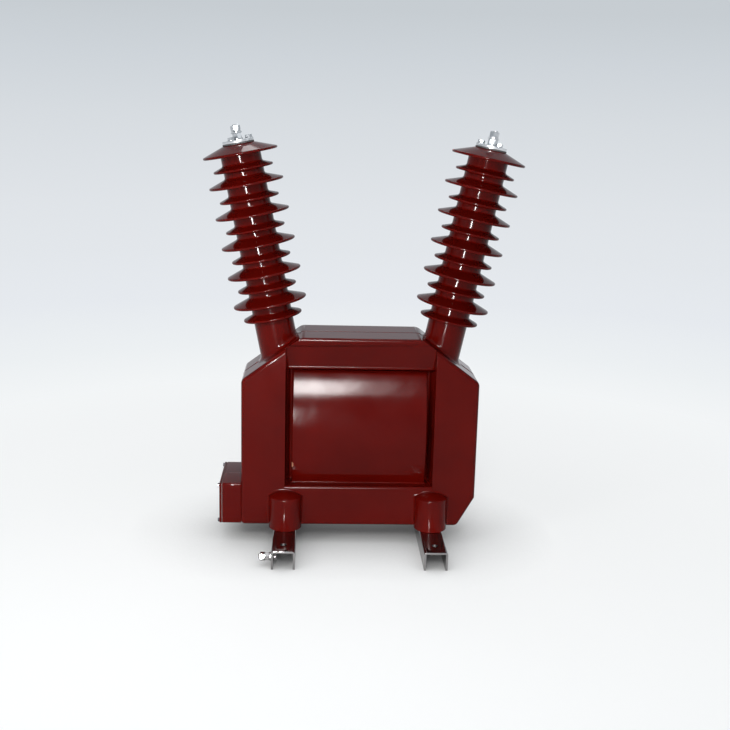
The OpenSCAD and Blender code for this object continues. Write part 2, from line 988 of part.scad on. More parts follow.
module terminal_box() {
    color(resin_red)
        difference() {
            along_x(box_rim_x, -half_w) box_section(0, box_corner_r);
            difference() {
                along_x(box_rim_x - cut_over, box_floor_x) box_section(box_wall, box_corner_r);
                for (at = cover_screw_places())
                    along_x(box_rim_x - 2 * cut_over, box_floor_x)
                        translate(at) square(boss_w, center = true);
            }
            for (at = cover_screw_places())
                facing_left(at, box_rim_x + cover_screw_len)
                    cylinder(d = m5 + 2 * fit_gap, h = cover_screw_len + cut_over);
            for (at = concat(box_screw_at, board_screw_at))
                facing_left(at, -half_w + cut_over)
                    cylinder(d = m5 + hole_gap, h = box_wall + 2 * cut_over);
            for (y = secondary_y, z = secondary_z)
                facing_left([y, z], -half_w + cut_over)
                    cylinder(d = m6 + hole_gap, h = box_wall + 2 * cut_over);
            translate([gland_at[0], gland_at[1], box_z0 - cut_over])
                cylinder(d = gland_d + hole_gap / 2, h = box_wall + 2 * cut_over);
        }
}

module box_inserts() {
    color(brass)
        for (at = concat(box_screw_at, board_screw_at))
            facing_left(at, -half_w + box_insert_len)
                difference() {
                    cylinder(d = box_insert_d, h = box_insert_len);
                    translate([0, 0, cut_over]) cylinder(d = m5 + 2 * fit_gap, h = box_insert_len);
                }
}

// A screw with its head on the face at x and its shank toward +X
module screw_from_left(at, x, length) {
    facing_left(at, x) mirror([0, 0, 1]) hex_bolt(m5_flats, m5_head_h, m5, length);
}

module box_screws() {
    color(zinc)
        for (at = box_screw_at)
            screw_from_left(at, box_floor_x, box_screw_len);
}

module terminal_board() {
    color(board_brown)
        difference() {
            along_x(box_floor_x - board_t, box_floor_x)
                translate([board_y[0], board_z[0]])
                    square([board_y[1] - board_y[0], board_z[1] - board_z[0]]);
            for (at = board_screw_at)
                facing_left(at, box_floor_x + cut_over)
                    cylinder(d = m5 + hole_gap, h = board_t + 2 * cut_over);
            for (y = secondary_y, z = secondary_z)
                facing_left([y, z], box_floor_x + cut_over)
                    cylinder(d = m6 + 2 * fit_gap, h = board_t + 2 * cut_over);
        }
}

module board_screws() {
    color(zinc)
        for (at = board_screw_at)
            screw_from_left(at, box_floor_x - board_t, box_screw_len + board_t);
}

module at_secondary(x) {
    for (y = secondary_y, z = secondary_z)
        facing_left([y, z], x) children();
}

module secondary_studs() {
    color(brass)
        at_secondary(secondary_stud_x)
            cylinder(d = m6, h = secondary_stud_x - box_floor_x + board_t + secondary_out_x);
}

module secondary_washers() {
    color(brass)
        at_secondary(box_floor_x - board_t) ring(m6_washer[0], m6 + 2 * fit_gap, m6_washer[1]);
}

module secondary_nuts() {
    color(brass)
        at_secondary(box_floor_x - board_t - m6_washer[1])
            for (z = [0, m6_nut_h + fit_gap])
                translate([0, 0, z]) hex_nut(m6_flats, m6_nut_h, m6 + 2 * fit_gap);
}

module cover_gasket() {
    color(black_rubber)
        difference() {
            along_x(box_rim_x - cover_gasket_t, box_rim_x)
                difference() {
                    box_section(gasket_inset, box_corner_r);
                    difference() {
                        box_section(box_wall, box_corner_r);
                        for (at = cover_screw_places())
                            translate(at) square(boss_w, center = true);
                    }
                }
            for (at = cover_screw_places())
                facing_left(at, box_rim_x + cut_over)
                    cylinder(d = m5 + hole_gap, h = cover_gasket_t + 2 * cut_over);
        }
}

module box_cover() {
    color(resin_red)
        difference() {
            along_x(cover_x, cover_x + cover_t) box_section(0, box_corner_r);
            for (at = cover_screw_places())
                facing_left(at, cover_x + cover_t + cut_over)
                    cylinder(d = m5 + hole_gap, h = cover_t + 2 * cut_over);
        }
}

module cover_screws() {
    color(zinc)
        for (at = cover_screw_places())
            screw_from_left(at, cover_x, cover_t + cover_gasket_t + cover_screw_len - thread_spare);
}

// Puts its children on the gland's axis, with the box's underside at z = 0
module on_gland() {
    translate([gland_at[0], gland_at[1], box_z0]) children();
}

module gland_body() {
    color(gland_black)
        on_gland()
            difference() {
                union() {
                    cylinder(d = gland_d, h = box_wall + gland_nut_h + gland_thread_spare);
                    translate([0, 0, -gland_hex_h]) linear_extrude(gland_hex_h) hexagon(gland_hex_flats);
                    translate([0, 0, -gland_hex_h - gland_tail_len])
                        cylinder(d = gland_tail_d, h = gland_tail_len);
                }
                translate([0, 0, -gland_hex_h - gland_tail_len - cut_over]) {
                    cylinder(d = cable_d + gland_bore_gap, h = gland_len + 2 * cut_over);
                    cylinder(d = gland_seal_d, h = gland_seal_len + cut_over);
                }
            }
}

module gland_lock_nut() {
    color(gland_black)
        on_gland()
            translate([0, 0, box_wall]) hex_nut(gland_hex_flats, gland_nut_h, gland_d + 2 * fit_gap);
}

module gland_seal() {
    color(black_rubber)
        on_gland()
            translate([0, 0, -gland_hex_h - gland_tail_len])
                ring(gland_seal_d - 2 * fit_gap, cable_d, gland_seal_len);
}

module gland_cap() {
    color(gland_black)
        on_gland()
            translate([0, 0, -gland_hex_h - gland_tail_len - gland_cap_floor])
                difference() {
                    linear_extrude(gland_cap_h) hexagon(gland_cap_flats);
                    translate([0, 0, gland_cap_floor])
                        cylinder(d = gland_tail_d + 2 * fit_gap, h = gland_cap_h);
                    translate([0, 0, -cut_over]) cylinder(d = cable_d + gland_bore_gap, h = gland_cap_h);
                }
}

resin_body();
core_half_left();
core_half_right();
core_band();
winding_former();
secondary_winding();
primary_winding();
primary_lead_left();
primary_lead_right();
secondary_leads();
stud_inserts();
plate_inserts();
terminal_gaskets();
terminal_plate_left();
terminal_plate_right();
plate_bolts();
plate_bolt_washers();
terminal_studs();
terminal_washers();
terminal_lower_nuts();
terminal_spring_washers();
terminal_upper_nuts();
foot_inserts();
foot_bolts();
foot_washers();
foot_spring_washers();
base_channel_left();
base_channel_right();
earth_bolt();
earth_washers();
earth_spring_washer();
earth_nuts();
terminal_box();
box_inserts();
box_screws();
terminal_board();
board_screws();
secondary_studs();
secondary_washers();
secondary_nuts();
cover_gasket();
box_cover();
cover_screws();
gland_body();
gland_lock_nut();
gland_seal();
gland_cap();
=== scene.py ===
import bpy
import bmesh
from math import atan2, ceil, cos, hypot, pi, radians, sin, sqrt, tan
from mathutils import Matrix, Vector


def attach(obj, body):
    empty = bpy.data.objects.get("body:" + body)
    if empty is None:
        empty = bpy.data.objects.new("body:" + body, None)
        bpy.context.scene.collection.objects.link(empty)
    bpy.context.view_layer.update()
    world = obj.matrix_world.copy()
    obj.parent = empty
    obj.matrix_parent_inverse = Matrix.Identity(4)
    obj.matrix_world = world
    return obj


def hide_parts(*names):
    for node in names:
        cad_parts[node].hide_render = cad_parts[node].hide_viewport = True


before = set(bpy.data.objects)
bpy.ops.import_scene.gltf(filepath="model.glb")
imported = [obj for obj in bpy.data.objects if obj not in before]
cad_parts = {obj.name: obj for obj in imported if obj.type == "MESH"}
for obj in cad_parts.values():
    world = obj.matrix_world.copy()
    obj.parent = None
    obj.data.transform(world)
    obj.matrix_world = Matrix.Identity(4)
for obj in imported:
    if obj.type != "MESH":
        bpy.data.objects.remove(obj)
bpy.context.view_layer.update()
scene = bpy.context.scene
scene.view_settings.view_transform = "Standard"
mm = 0.001
sides = {-1: "Left", 1: "Right"}
corners = [(x, y) for x in sides for y in sides]
print("frame loaded:", len(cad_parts), "nodes")


# small helpers

def makeObject(name, bm, material, sharpAngle=38):
    bmesh.ops.remove_doubles(bm, verts=bm.verts, dist=0.002 * mm)
    bmesh.ops.recalc_face_normals(bm, faces=bm.faces)
    mesh = bpy.data.meshes.new(name)
    bm.to_mesh(mesh)
    bm.free()
    mesh.shade_smooth()
    mesh.set_sharp_from_angle(angle=radians(sharpAngle))
    obj = bpy.data.objects.new(name, mesh)
    scene.collection.objects.link(obj)
    obj.data.materials.append(material)
    return obj


def finishPiece(obj, node):
    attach(obj, "root")
    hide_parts(node)
    return obj


def finishHardware(name, bm, node, material, sharpAngle=38):
    return finishPiece(makeObject(name, bm, material, sharpAngle), node)


def at(x, y, z):
    return Matrix.Translation((x * mm, y * mm, z * mm))


def turned(axis, angle):
    return Matrix.Rotation(angle, 4, axis)


def raised(place, z, turn=0.0):
    # place moved by z along its own axis, and turned about it in degrees
    return place @ at(0, 0, z) @ turned("Z", radians(turn))


def arcPoints(cx, cz, r, a, b, steps):
    # points on an arc from angle a to angle b, in degrees
    angles = [radians(a + (b - a) * i / steps) for i in range(steps + 1)]
    return [(cx + r * cos(angle), cz + r * sin(angle)) for angle in angles]


def drawLine(bm, points):
    # a row of joined points, as its vertices and its edges
    verts = [bm.verts.new(p) for p in points]
    return verts, [bm.edges.new(pair) for pair in zip(verts, verts[1:])]


def spin(bm, geom, angle, steps, rise=0.0, place=Matrix(), merge=False):
    # turns geom about the local Z axis of place, and lifts it by rise at each step
    axis = place.to_3x3() @ Vector((0, 0, 1))
    bmesh.ops.spin(bm, geom=geom, cent=place.translation, axis=axis, dvec=(0, 0, rise), angle=angle,
                   steps=steps, use_merge=merge, use_duplicate=False)


def spinProfile(bm, points, steps, place=Matrix()):
    # points are (radius, height) in mm, turned once about the local Z axis of place
    verts, edges = drawLine(bm, [place @ Vector((r * mm, 0, z * mm)) for r, z in points])
    spin(bm, verts + edges, 2 * pi, steps, place=place, merge=True)


def extrudeOutline(bm, points, vector):
    # a flat outline of 3D points, swept along vector into a closed solid
    face = bm.faces.new([bm.verts.new(p) for p in points])
    swept = bmesh.ops.extrude_face_region(bm, geom=[face])
    moved = [g for g in swept["geom"] if isinstance(g, bmesh.types.BMVert)]
    bmesh.ops.translate(bm, verts=moved, vec=vector)
    bmesh.ops.recalc_face_normals(bm, faces=bm.faces)


def sweepSections(bm, sections):
    # carries an open row of points through a list of rows, one strip of faces per step
    row, edges = drawLine(bm, sections[0])
    for section in sections[1:]:
        grown = bmesh.ops.extrude_edge_only(bm, edges=edges)["geom"]
        fresh = [g for g in grown if isinstance(g, bmesh.types.BMVert)]
        row = [min(fresh, key=lambda v: (v.co - old.co).length_squared) for old in row]
        known = set(row)
        edges = [g for g in grown if isinstance(g, bmesh.types.BMEdge) and known.issuperset(g.verts)]
        for v, place in zip(row, section):
            v.co = place


def carve(obj, cutters):
    for cutter in cutters:
        cut = obj.modifiers.new("cut", "BOOLEAN")
        cut.operation = "DIFFERENCE"
        cut.solver = "EXACT"
        cut.object = cutter
    evaluated = obj.evaluated_get(bpy.context.evaluated_depsgraph_get())
    carved = bpy.data.meshes.new_from_object(evaluated)
    for cutter in cutters:
        bpy.data.objects.remove(cutter)
    bpy.data.objects.remove(obj)
    bm = bmesh.new()
    bm.from_mesh(carved)
    bpy.data.meshes.remove(carved)
    return bm


def bevelEdges(bm, edges, offset, segments, clamp=False):
    bmesh.ops.bevel(bm, geom=edges, offset=offset * mm, offset_type="OFFSET", segments=segments, profile=0.5,
                    affect="EDGES", clamp_overlap=clamp, material=-1)


def bevelSharp(bm, offset, segments, limit=30, shortest=0.0):
    # rounds every edge sharper than limit, in degrees, and longer than shortest
    sharp = [e for e in bm.edges if len(e.link_faces) == 2 and e.calc_face_angle(0) > radians(limit)
             and e.calc_length() > shortest * mm]
    bevelEdges(bm, sharp, offset, segments, clamp=shortest == 0)


def joinInto(bm, other, place=Matrix()):
    mesh = bpy.data.meshes.new("joined")
    bmesh.ops.transform(other, matrix=place, verts=other.verts)
    other.to_mesh(mesh)
    other.free()
    bm.from_mesh(mesh)
    bpy.data.meshes.remove(mesh)


# shader building

def newMaterial(name):
    material = bpy.data.materials.new(name)
    material.use_nodes = True
    tree = material.node_tree
    return material, tree, tree.nodes["Principled BSDF"]


def feed(tree, socket, value):
    # links a socket or sets a plain value, where a colour of three numbers gets its alpha
    if isinstance(value, bpy.types.NodeSocket):
        tree.links.new(value, socket)
    elif socket.type == "RGBA":
        socket.default_value = (*value, 1)
    else:
        socket.default_value = value


def addNode(tree, kind, **values):
    node = tree.nodes.new(kind)
    for key, value in values.items():
        if hasattr(node, key):
            setattr(node, key, value)
        else:
            feed(tree, node.inputs[key.replace("_", " ")], value)
    return node


def mathNode(tree, operation, *values, clamp=False):
    node = addNode(tree, "ShaderNodeMath", operation=operation, use_clamp=clamp)
    for socket, value in zip(node.inputs, values):
        feed(tree, socket, value)
    return node.outputs[0]


def vectorNode(tree, operation, *values):
    node = addNode(tree, "ShaderNodeVectorMath", operation=operation)
    for socket, value in zip(node.inputs, values):
        feed(tree, socket, value)
    return node.outputs["Value" if operation == "LENGTH" else "Vector"]


def setLook(tree, shader, **values):
    for key, value in values.items():
        feed(tree, shader.inputs[key.replace("_", " ")], value)


def objectCoords(tree):
    return tree.nodes.new("ShaderNodeTexCoord").outputs["Object"]


def noise(tree, vector, scale, detail=3.0, roughness=0.5, distortion=0.0):
    return addNode(tree, "ShaderNodeTexNoise", Vector=vector, Scale=scale, Detail=detail, Roughness=roughness,
                   Distortion=distortion).outputs["Fac"]


def ramp(tree, value, stops):
    node = addNode(tree, "ShaderNodeValToRGB", Fac=value)
    elements = node.color_ramp.elements
    while len(elements) < len(stops):
        elements.new(0.5)
    for element, (position, colour) in zip(elements, stops):
        element.position = position
        element.color = (*colour, 1) if isinstance(colour, tuple) else (colour, colour, colour, 1)
    return node.outputs["Color"]


def mixColour(tree, factor, a, b):
    node = addNode(tree, "ShaderNodeMix", data_type="RGBA")
    for i, value in ((0, factor), (6, a), (7, b)):  # the sockets that the colour mode uses
        feed(tree, node.inputs[i], value)
    return node.outputs[2]


def mixShader(tree, factor, a, b):
    node = addNode(tree, "ShaderNodeMixShader", Fac=factor)
    tree.links.new(a.outputs[0], node.inputs[1])
    tree.links.new(b.outputs[0], node.inputs[2])
    return node.outputs[0]


def bumpNormal(tree, height, strength, distance):
    node = addNode(tree, "ShaderNodeBump", Height=height, Strength=strength, Distance=distance)
    return node.outputs["Normal"]


def newGroup(name, inputs, outputs):
    group = bpy.data.node_groups.new(name, "ShaderNodeTree")
    for socketName, kind, value in inputs:
        socket = group.interface.new_socket(name=socketName, in_out="INPUT", socket_type=kind)
        if value is not None:
            socket.default_value = value
    for socketName, kind in outputs:
        group.interface.new_socket(name=socketName, in_out="OUTPUT", socket_type=kind)
    return group, group.nodes.new("NodeGroupInput"), group.nodes.new("NodeGroupOutput")


def useGroup(tree, group, **values):
    return addNode(tree, "ShaderNodeGroup", node_tree=group, **values)


# handling marks: fine scratches and cloudy smears, shared by all the materials
marks, marksIn, marksOut = newGroup(
    "handlingMarks",
    [("Vector", "NodeSocketVector", None), ("Scale", "NodeSocketFloat", 30.0),
     ("Stretch", "NodeSocketFloat", 12.0)],
    [("Scratches", "NodeSocketFloat"), ("Smears", "NodeSocketFloat")])
stretch = addNode(marks, "ShaderNodeCombineXYZ", X=marksIn.outputs["Stretch"], Y=1, Z=1)
slanted = addNode(marks, "ShaderNodeVectorRotate", rotation_type="EULER_XYZ",
                  Vector=marksIn.outputs["Vector"], Rotation=(0.5, 0.35, 0.8))
stretched = vectorNode(marks, "MULTIPLY", slanted.outputs["Vector"], stretch.outputs[0])
scratchNoise = noise(marks, stretched, marksIn.outputs["Scale"], 4.0, 0.7)
smearScale = mathNode(marks, "MULTIPLY", marksIn.outputs["Scale"], 0.35)
smearNoise = noise(marks, marksIn.outputs["Vector"], smearScale, 5.0, 0.6, 0.6)
feed(marks, marksOut.inputs["Scratches"], ramp(marks, scratchNoise, [(0.56, 0.0), (0.72, 1.0)]))
feed(marks, marksOut.inputs["Smears"], ramp(marks, smearNoise, [(0.35, 0.0), (0.7, 1.0)]))

# moulded skin: slow waves and fine peel of a cast surface, as one height
skin, skinIn, skinOut = newGroup(
    "mouldedSkin",
    [("Vector", "NodeSocketVector", None), ("Wave Scale", "NodeSocketFloat", 22.0),
     ("Peel Scale", "NodeSocketFloat", 260.0), ("Peel Share", "NodeSocketFloat", 0.12)],
    [("Height", "NodeSocketFloat")])
waveNoise = noise(skin, skinIn.outputs["Vector"], skinIn.outputs["Wave Scale"], 1.5, 0.4)
peelNoise = noise(skin, skinIn.outputs["Vector"], skinIn.outputs["Peel Scale"], 2.0, 0.5)
skinHeight = mathNode(skin, "MULTIPLY_ADD", peelNoise, skinIn.outputs["Peel Share"], waveNoise)
feed(skin, skinOut.inputs["Height"], skinHeight)
print("shader groups built")


# materials

resinLook = dict(
    red=(0.075, 0.0019, 0.0009), deep=(0.055, 0.0013, 0.0006), roughness=(0.07, 0.14), specular=0.09, ior=1.5,
    cloudScale=7.0, waveScale=20.0, peelScale=420.0, peelShare=0.04, bump=0.6, bumpDepth=0.3 * mm,
    seamWidth=0.9 * mm, seamHeight=1.2, spotRough=0.5,
    # two small pale spots near the lower left end of the drum, rougher than the resin round them
    spots=[dict(at=(-0.1475, -0.066, 0.176), size=(0.0045, 0.02, 0.0068), colour=(0.40, 0.17, 0.10)),
           dict(at=(-0.1525, -0.064, 0.1595), size=(0.0022, 0.02, 0.0028), colour=(0.34, 0.17, 0.17))])


def spotMask(tree, coords, spot):
    # a spot round one point, with its edge broken up by fine noise
    away = vectorNode(tree, "DIVIDE", vectorNode(tree, "SUBTRACT", coords, spot["at"]), spot["size"])
    length = vectorNode(tree, "LENGTH", away)
    ragged = mathNode(tree, "MULTIPLY_ADD", noise(tree, coords, 420.0, 3.0), 0.9, length)
    mask = mathNode(tree, "SUBTRACT", 1.45, ragged, clamp=True)
    return mathNode(tree, "MULTIPLY", mask, 4.0, clamp=True)


def castResinMaterial():
    look = resinLook
    material, tree, shader = newMaterial("castResin")
    coords = objectCoords(tree)
    cloud = noise(tree, coords, look["cloudScale"], 4.0, 0.55)
    colour = mixColour(tree, ramp(tree, cloud, [(0.3, 0.0), (0.7, 1.0)]), look["deep"], look["red"])
    wear = useGroup(tree, marks, Vector=coords, Scale=26.0, Stretch=9.0)
    clean, worn = look["roughness"]
    rough = mathNode(tree, "MULTIPLY_ADD", wear.outputs["Smears"], worn - clean, clean)
    for spot in look["spots"]:
        mask = spotMask(tree, coords, spot)
        colour = mixColour(tree, mask, colour, spot["colour"])
        rough = mathNode(tree, "MULTIPLY_ADD", mask, look["spotRough"], rough)
    surface = useGroup(tree, skin, Vector=coords, Wave_Scale=look["waveScale"], Peel_Scale=look["peelScale"],
                       Peel_Share=look["peelShare"])
    # a faint seam where the two mould halves met
    split = addNode(tree, "ShaderNodeSeparateXYZ", Vector=coords)
    offSeam = mathNode(tree, "ABSOLUTE", split.outputs["Y"])
    share = mathNode(tree, "DIVIDE", offSeam, look["seamWidth"])
    seam = mathNode(tree, "SUBTRACT", 1.0, share, clamp=True)
    height = mathNode(tree, "MULTIPLY_ADD", seam, look["seamHeight"], surface.outputs["Height"])
    normal = bumpNormal(tree, height, look["bump"], look["bumpDepth"])
    setLook(tree, shader, Base_Color=colour, Roughness=rough, Normal=normal, IOR=look["ior"],
            Specular_IOR_Level=look["specular"])
    return material


def metalMaterial(name, colour, dark, roughness, scale, stretch, bump):
    material, tree, shader = newMaterial(name)
    coords = objectCoords(tree)
    wear = useGroup(tree, marks, Vector=coords, Scale=scale, Stretch=stretch)
    grain = noise(tree, coords, scale * 8, 3.0, 0.6)
    fine = mathNode(tree, "MULTIPLY", grain, 0.45)
    tone = mathNode(tree, "MULTIPLY_ADD", wear.outputs["Smears"], 0.55, fine)
    clean, worn = roughness
    rough = mathNode(tree, "MULTIPLY_ADD", wear.outputs["Smears"], worn - clean, clean)
    rough = mathNode(tree, "MULTIPLY_ADD", wear.outputs["Scratches"], 0.10, rough)
    height = mathNode(tree, "MULTIPLY_ADD", wear.outputs["Scratches"], -0.4, grain)
    setLook(tree, shader, Base_Color=mixColour(tree, tone, colour, dark), Roughness=rough, Metallic=1.0,
            Normal=bumpNormal(tree, height, bump, 0.4 * mm))
    return material


def dullMaterial(name, colour, shade, roughness, scale, bump):
    material, tree, shader = newMaterial(name)
    coords = objectCoords(tree)
    wear = useGroup(tree, marks, Vector=coords, Scale=scale, Stretch=4.0)
    grain = noise(tree, coords, scale * 14, 4.0, 0.6)
    fine = mathNode(tree, "MULTIPLY", grain, 0.4)
    tone = mathNode(tree, "MULTIPLY_ADD", wear.outputs["Smears"], 0.6, fine)
    rough = mathNode(tree, "MULTIPLY_ADD", wear.outputs["Smears"], 0.15, roughness)
    setLook(tree, shader, Base_Color=mixColour(tree, tone, colour, shade), Roughness=rough,
            Normal=bumpNormal(tree, grain, bump, 0.3 * mm))
    return material


resin = castResinMaterial()
zincPlate = metalMaterial("weatheredZincPlate", colour=(0.34, 0.33, 0.33), dark=(0.20, 0.19, 0.19),
                          roughness=(0.07, 0.20), scale=22.0, stretch=3.0, bump=0.12)
zincBolt = metalMaterial("zincBolts", colour=(0.62, 0.63, 0.64), dark=(0.44, 0.46, 0.48),
                         roughness=(0.09, 0.18), scale=60.0, stretch=5.0, bump=0.2)
earthZinc = metalMaterial("earthHardware", colour=(0.46, 0.45, 0.45), dark=(0.30, 0.28, 0.28),
                          roughness=(0.14, 0.26), scale=60.0, stretch=5.0, bump=0.2)
tinPlate = metalMaterial("tinnedTerminal", colour=(0.76, 0.76, 0.76), dark=(0.60, 0.61, 0.63),
                         roughness=(0.12, 0.24), scale=50.0, stretch=8.0, bump=0.2)
coreSteel = metalMaterial("coreSteel", colour=(0.30, 0.31, 0.33), dark=(0.16, 0.17, 0.18),
                          roughness=(0.35, 0.5), scale=40.0, stretch=20.0, bump=0.3)
copperWire = metalMaterial("enamelledCopper", colour=(0.60, 0.27, 0.12), dark=(0.38, 0.15, 0.06),
                           roughness=(0.25, 0.4), scale=80.0, stretch=14.0, bump=0.4)
brassTurned = metalMaterial("turnedBrass", colour=(0.75, 0.55, 0.22), dark=(0.50, 0.34, 0.12),
                            roughness=(0.2, 0.36), scale=70.0, stretch=6.0, bump=0.2)
blackSteel = metalMaterial("blackenedSteel", colour=(0.10, 0.10, 0.11), dark=(0.05, 0.05, 0.055),
                           roughness=(0.3, 0.45), scale=60.0, stretch=5.0, bump=0.2)
rubber = dullMaterial("blackRubber", colour=(0.012, 0.012, 0.013), shade=(0.03, 0.03, 0.032),
                      roughness=0.62, scale=40.0, bump=0.3)
redRubber = dullMaterial("redRubber", colour=(0.050, 0.006, 0.004), shade=(0.070, 0.009, 0.006),
                         roughness=0.55, scale=40.0, bump=0.3)
nylon = dullMaterial("blackNylon", colour=(0.015, 0.015, 0.017), shade=(0.03, 0.031, 0.034),
                     roughness=0.42, scale=60.0, bump=0.25)
pressboard = dullMaterial("pressboard", colour=(0.42, 0.28, 0.13), shade=(0.30, 0.19, 0.08),
                          roughness=0.7, scale=30.0, bump=0.5)
phenolic = dullMaterial("phenolicBoard", colour=(0.10, 0.045, 0.02), shade=(0.06, 0.026, 0.012),
                        roughness=0.4, scale=30.0, bump=0.2)
print("materials built")


# the casting: housing with its window and drum, posts, bushings, all one piece

housing = dict(
    halfWidth=257, bottom=42, top=462, halfTop=130, shoulder=368, cornerCut=(37, 66), halfDepth=82,
    edgeRound=8, cornerRound=8, windowHalf=162, wallDraft=12, windowLow=132, ledgeEdge=7, topEdge=7,
    windowEdge=2.5, panelLow=388, panelLean=32, drumRadius=300, drumHeight=235, drumHalfDepth=72,
    drumSteps=22, grooveFrom=147, grooveFloor={-1: 26, 1: 60}, cutterFront=30, cutterRise=10)


def housingOutline():
    h = housing
    cutWide, cutTall = h["cornerCut"]
    wide, low, shoulder, half, top = h["halfWidth"], h["bottom"], h["shoulder"], h["halfTop"], h["top"]
    return [(-wide, low), (wide - cutWide, low), (wide, low + cutTall), (wide, shoulder), (half, top),
            (-half, top), (-wide, shoulder)]


def drumDepth(z):
    h = housing
    return sqrt(h["drumRadius"] ** 2 - (z - h["drumHeight"]) ** 2) - h["drumRadius"] + h["drumHalfDepth"]


def wallAt(depth):
    # half the window's width at a depth, because its walls have draft
    h = housing
    return h["windowHalf"] - h["wallDraft"] * (1 - depth / h["halfDepth"])


def windowCutter(side):
    # space in front of the leaning panel, the drum and the lower bar, whose long edges come out rounded
    h = housing
    clear, over = h["halfDepth"] + h["cutterFront"], h["top"] + h["cutterRise"]
    lean = atan2(h["panelLean"], h["top"] - h["panelLow"])
    brow, ledge = h["topEdge"], h["ledgeEdge"]
    back = h["halfDepth"] - brow * tan(pi / 4 + lean / 2)
    outline = [(clear, h["windowLow"] - ledge)]
    outline += arcPoints(h["halfDepth"] - ledge, h["windowLow"] - ledge, ledge, 0, 90, 7)
    for i in range(h["drumSteps"] + 1):
        z = h["windowLow"] + (h["panelLow"] - h["windowLow"]) * i / h["drumSteps"]
        outline.append((drumDepth(z), z))
    outline.append((h["halfDepth"] - h["panelLean"], h["panelLow"]))
    outline += arcPoints(back, h["top"] - brow, brow, -lean * 180 / pi, 90, 9)
    outline += [(back, over), (clear, over)]
    bm = bmesh.new()
    extrudeOutline(bm, [(-mm, side * y * mm, z * mm) for y, z in outline], (2 * mm, 0, 0))
    for v in bm.verts:
        inner = wallAt(abs(v.co.y) / mm) * mm
        v.co.x = inner if v.co.x > 0 else -inner
    return makeObject("windowCutter", bm, resin)


def grooveCutter(side, hand):
    # narrow slot between the drum's end and the window's wall, shallow at the back where leads pass
    h = housing
    low, high, front, floor = h["windowLow"], h["panelLow"], h["halfDepth"], h["grooveFloor"][side]
    outline = [(front, low), (front, high), (floor, high), (floor, low)]
    bm = bmesh.new()
    extrudeOutline(bm, [(0, side * y * mm, z * mm) for y, z in outline], (hand * mm, 0, 0))
    for v in bm.verts:
        outer = abs(v.co.x) > 0.5 * mm
        v.co.x = hand * (wallAt(abs(v.co.y) / mm) if outer else h["grooveFrom"]) * mm
    return makeObject("grooveCutter", bm, resin)


def housingMesh():
    h = housing
    bm = bmesh.new()
    depth = h["halfDepth"] * mm
    extrudeOutline(bm, [(x * mm, -depth, z * mm) for x, z in housingOutline()], (0, 2 * depth, 0))
    bevelSharp(bm, h["edgeRound"], 5)
    block = makeObject("housingBlock", bm, resin)
    grooves = [grooveCutter(side, hand) for side, hand in corners]
    bm = carve(block, [windowCutter(-1), windowCutter(1)] + grooves)
    bmesh.ops.remove_doubles(bm, verts=bm.verts, dist=0.01 * mm)
    bmesh.ops.dissolve_limit(bm, angle_limit=radians(0.5), use_dissolve_boundaries=False, verts=bm.verts,
                             edges=bm.edges)
    bevelSharp(bm, h["windowEdge"], 3, limit=32, shortest=6)
    return bm


ridge = dict(radius=4.6, proud=3.4, halfLength=155, steps=28)


def addPanelRidges(bm):
    # rounded lip along the lower edge of each leaning panel
    h, r = housing, ridge
    end = r["halfLength"]
    y = h["halfDepth"] - h["panelLean"] + r["proud"] - r["radius"]
    for side in sides:
        place = at(0, side * y, h["panelLow"] + r["radius"]) @ turned("Y", pi / 2)
        spinProfile(bm, [(0, -end), (r["radius"], -end), (r["radius"], end), (0, end)], r["steps"], place)


partingLine = dict(proud=0.5, width=2.2, edge=0.5)


def addPartingLine(bm):
    # thin flash where the two mould halves met, all round the housing
    p = partingLine
    outline = housingOutline()
    grown = []
    for i, corner in enumerate(outline):
        before, after = outline[i - 1], outline[(i + 1) % len(outline)]
        a = (Vector(corner) - Vector(before)).normalized()
        b = (Vector(after) - Vector(corner)).normalized()
        na, nb = Vector((a.y, -a.x)), Vector((b.y, -b.x))
        push = (na + nb) / (1 + na.dot(nb)) * p["proud"]
        grown.append(Vector(corner) + push)
    flash = bmesh.new()
    half = p["width"] / 2 * mm
    extrudeOutline(flash, [(g.x * mm, -half, g.y * mm) for g in grown], (0, 2 * half, 0))
    across = [e for e in flash.edges if abs(e.verts[0].co.y - e.verts[1].co.y) > half]
    bevelEdges(flash, across, housing["cornerRound"], 5)
    bevelSharp(flash, p["edge"], 2, 60)
    joinInto(bm, flash)


post = dict(x=160, y=84, radius=36, bottom=40, top=113, toe=1.5, rim=3.5, dome=10, domeSteps=9, steps=64)


def postTopEdge():
    # radius and height where the rounded rim runs into the dome, and the angle it does so at
    p = post
    lean = 90 - atan2(2 * p["dome"], p["radius"] - p["rim"] / 2) * 180 / pi
    edge = p["radius"] - p["rim"] + p["rim"] * cos(radians(lean))
    return edge, p["top"] - p["rim"] + p["rim"] * sin(radians(lean)), lean


def addPosts(bm):
    p = post
    edge, level, lean = postTopEdge()
    toe = p["toe"]
    profile = [(0, p["bottom"]), (p["radius"] - toe, p["bottom"])]
    profile += arcPoints(p["radius"] - toe, p["bottom"] + toe, toe, -90, 0, 3)[1:]
    profile += arcPoints(p["radius"] - p["rim"], p["top"] - p["rim"], p["rim"], 0, lean, 5)
    for k in range(1, p["domeSteps"] + 1):
        inward = 1 - k / p["domeSteps"]
        profile.append((edge * inward, level + p["dome"] * (1 - inward ** 2)))
    for x, y in corners:
        spinProfile(bm, profile, p["steps"], at(x * p["x"], y * p["y"], 0))
        addPostFillet(bm, x * p["x"], y)


postFillet = dict(radius=5, thinning=0.4, sink=0.1, curl=0.6, low=6, rimGap=4, rimSteps=4)


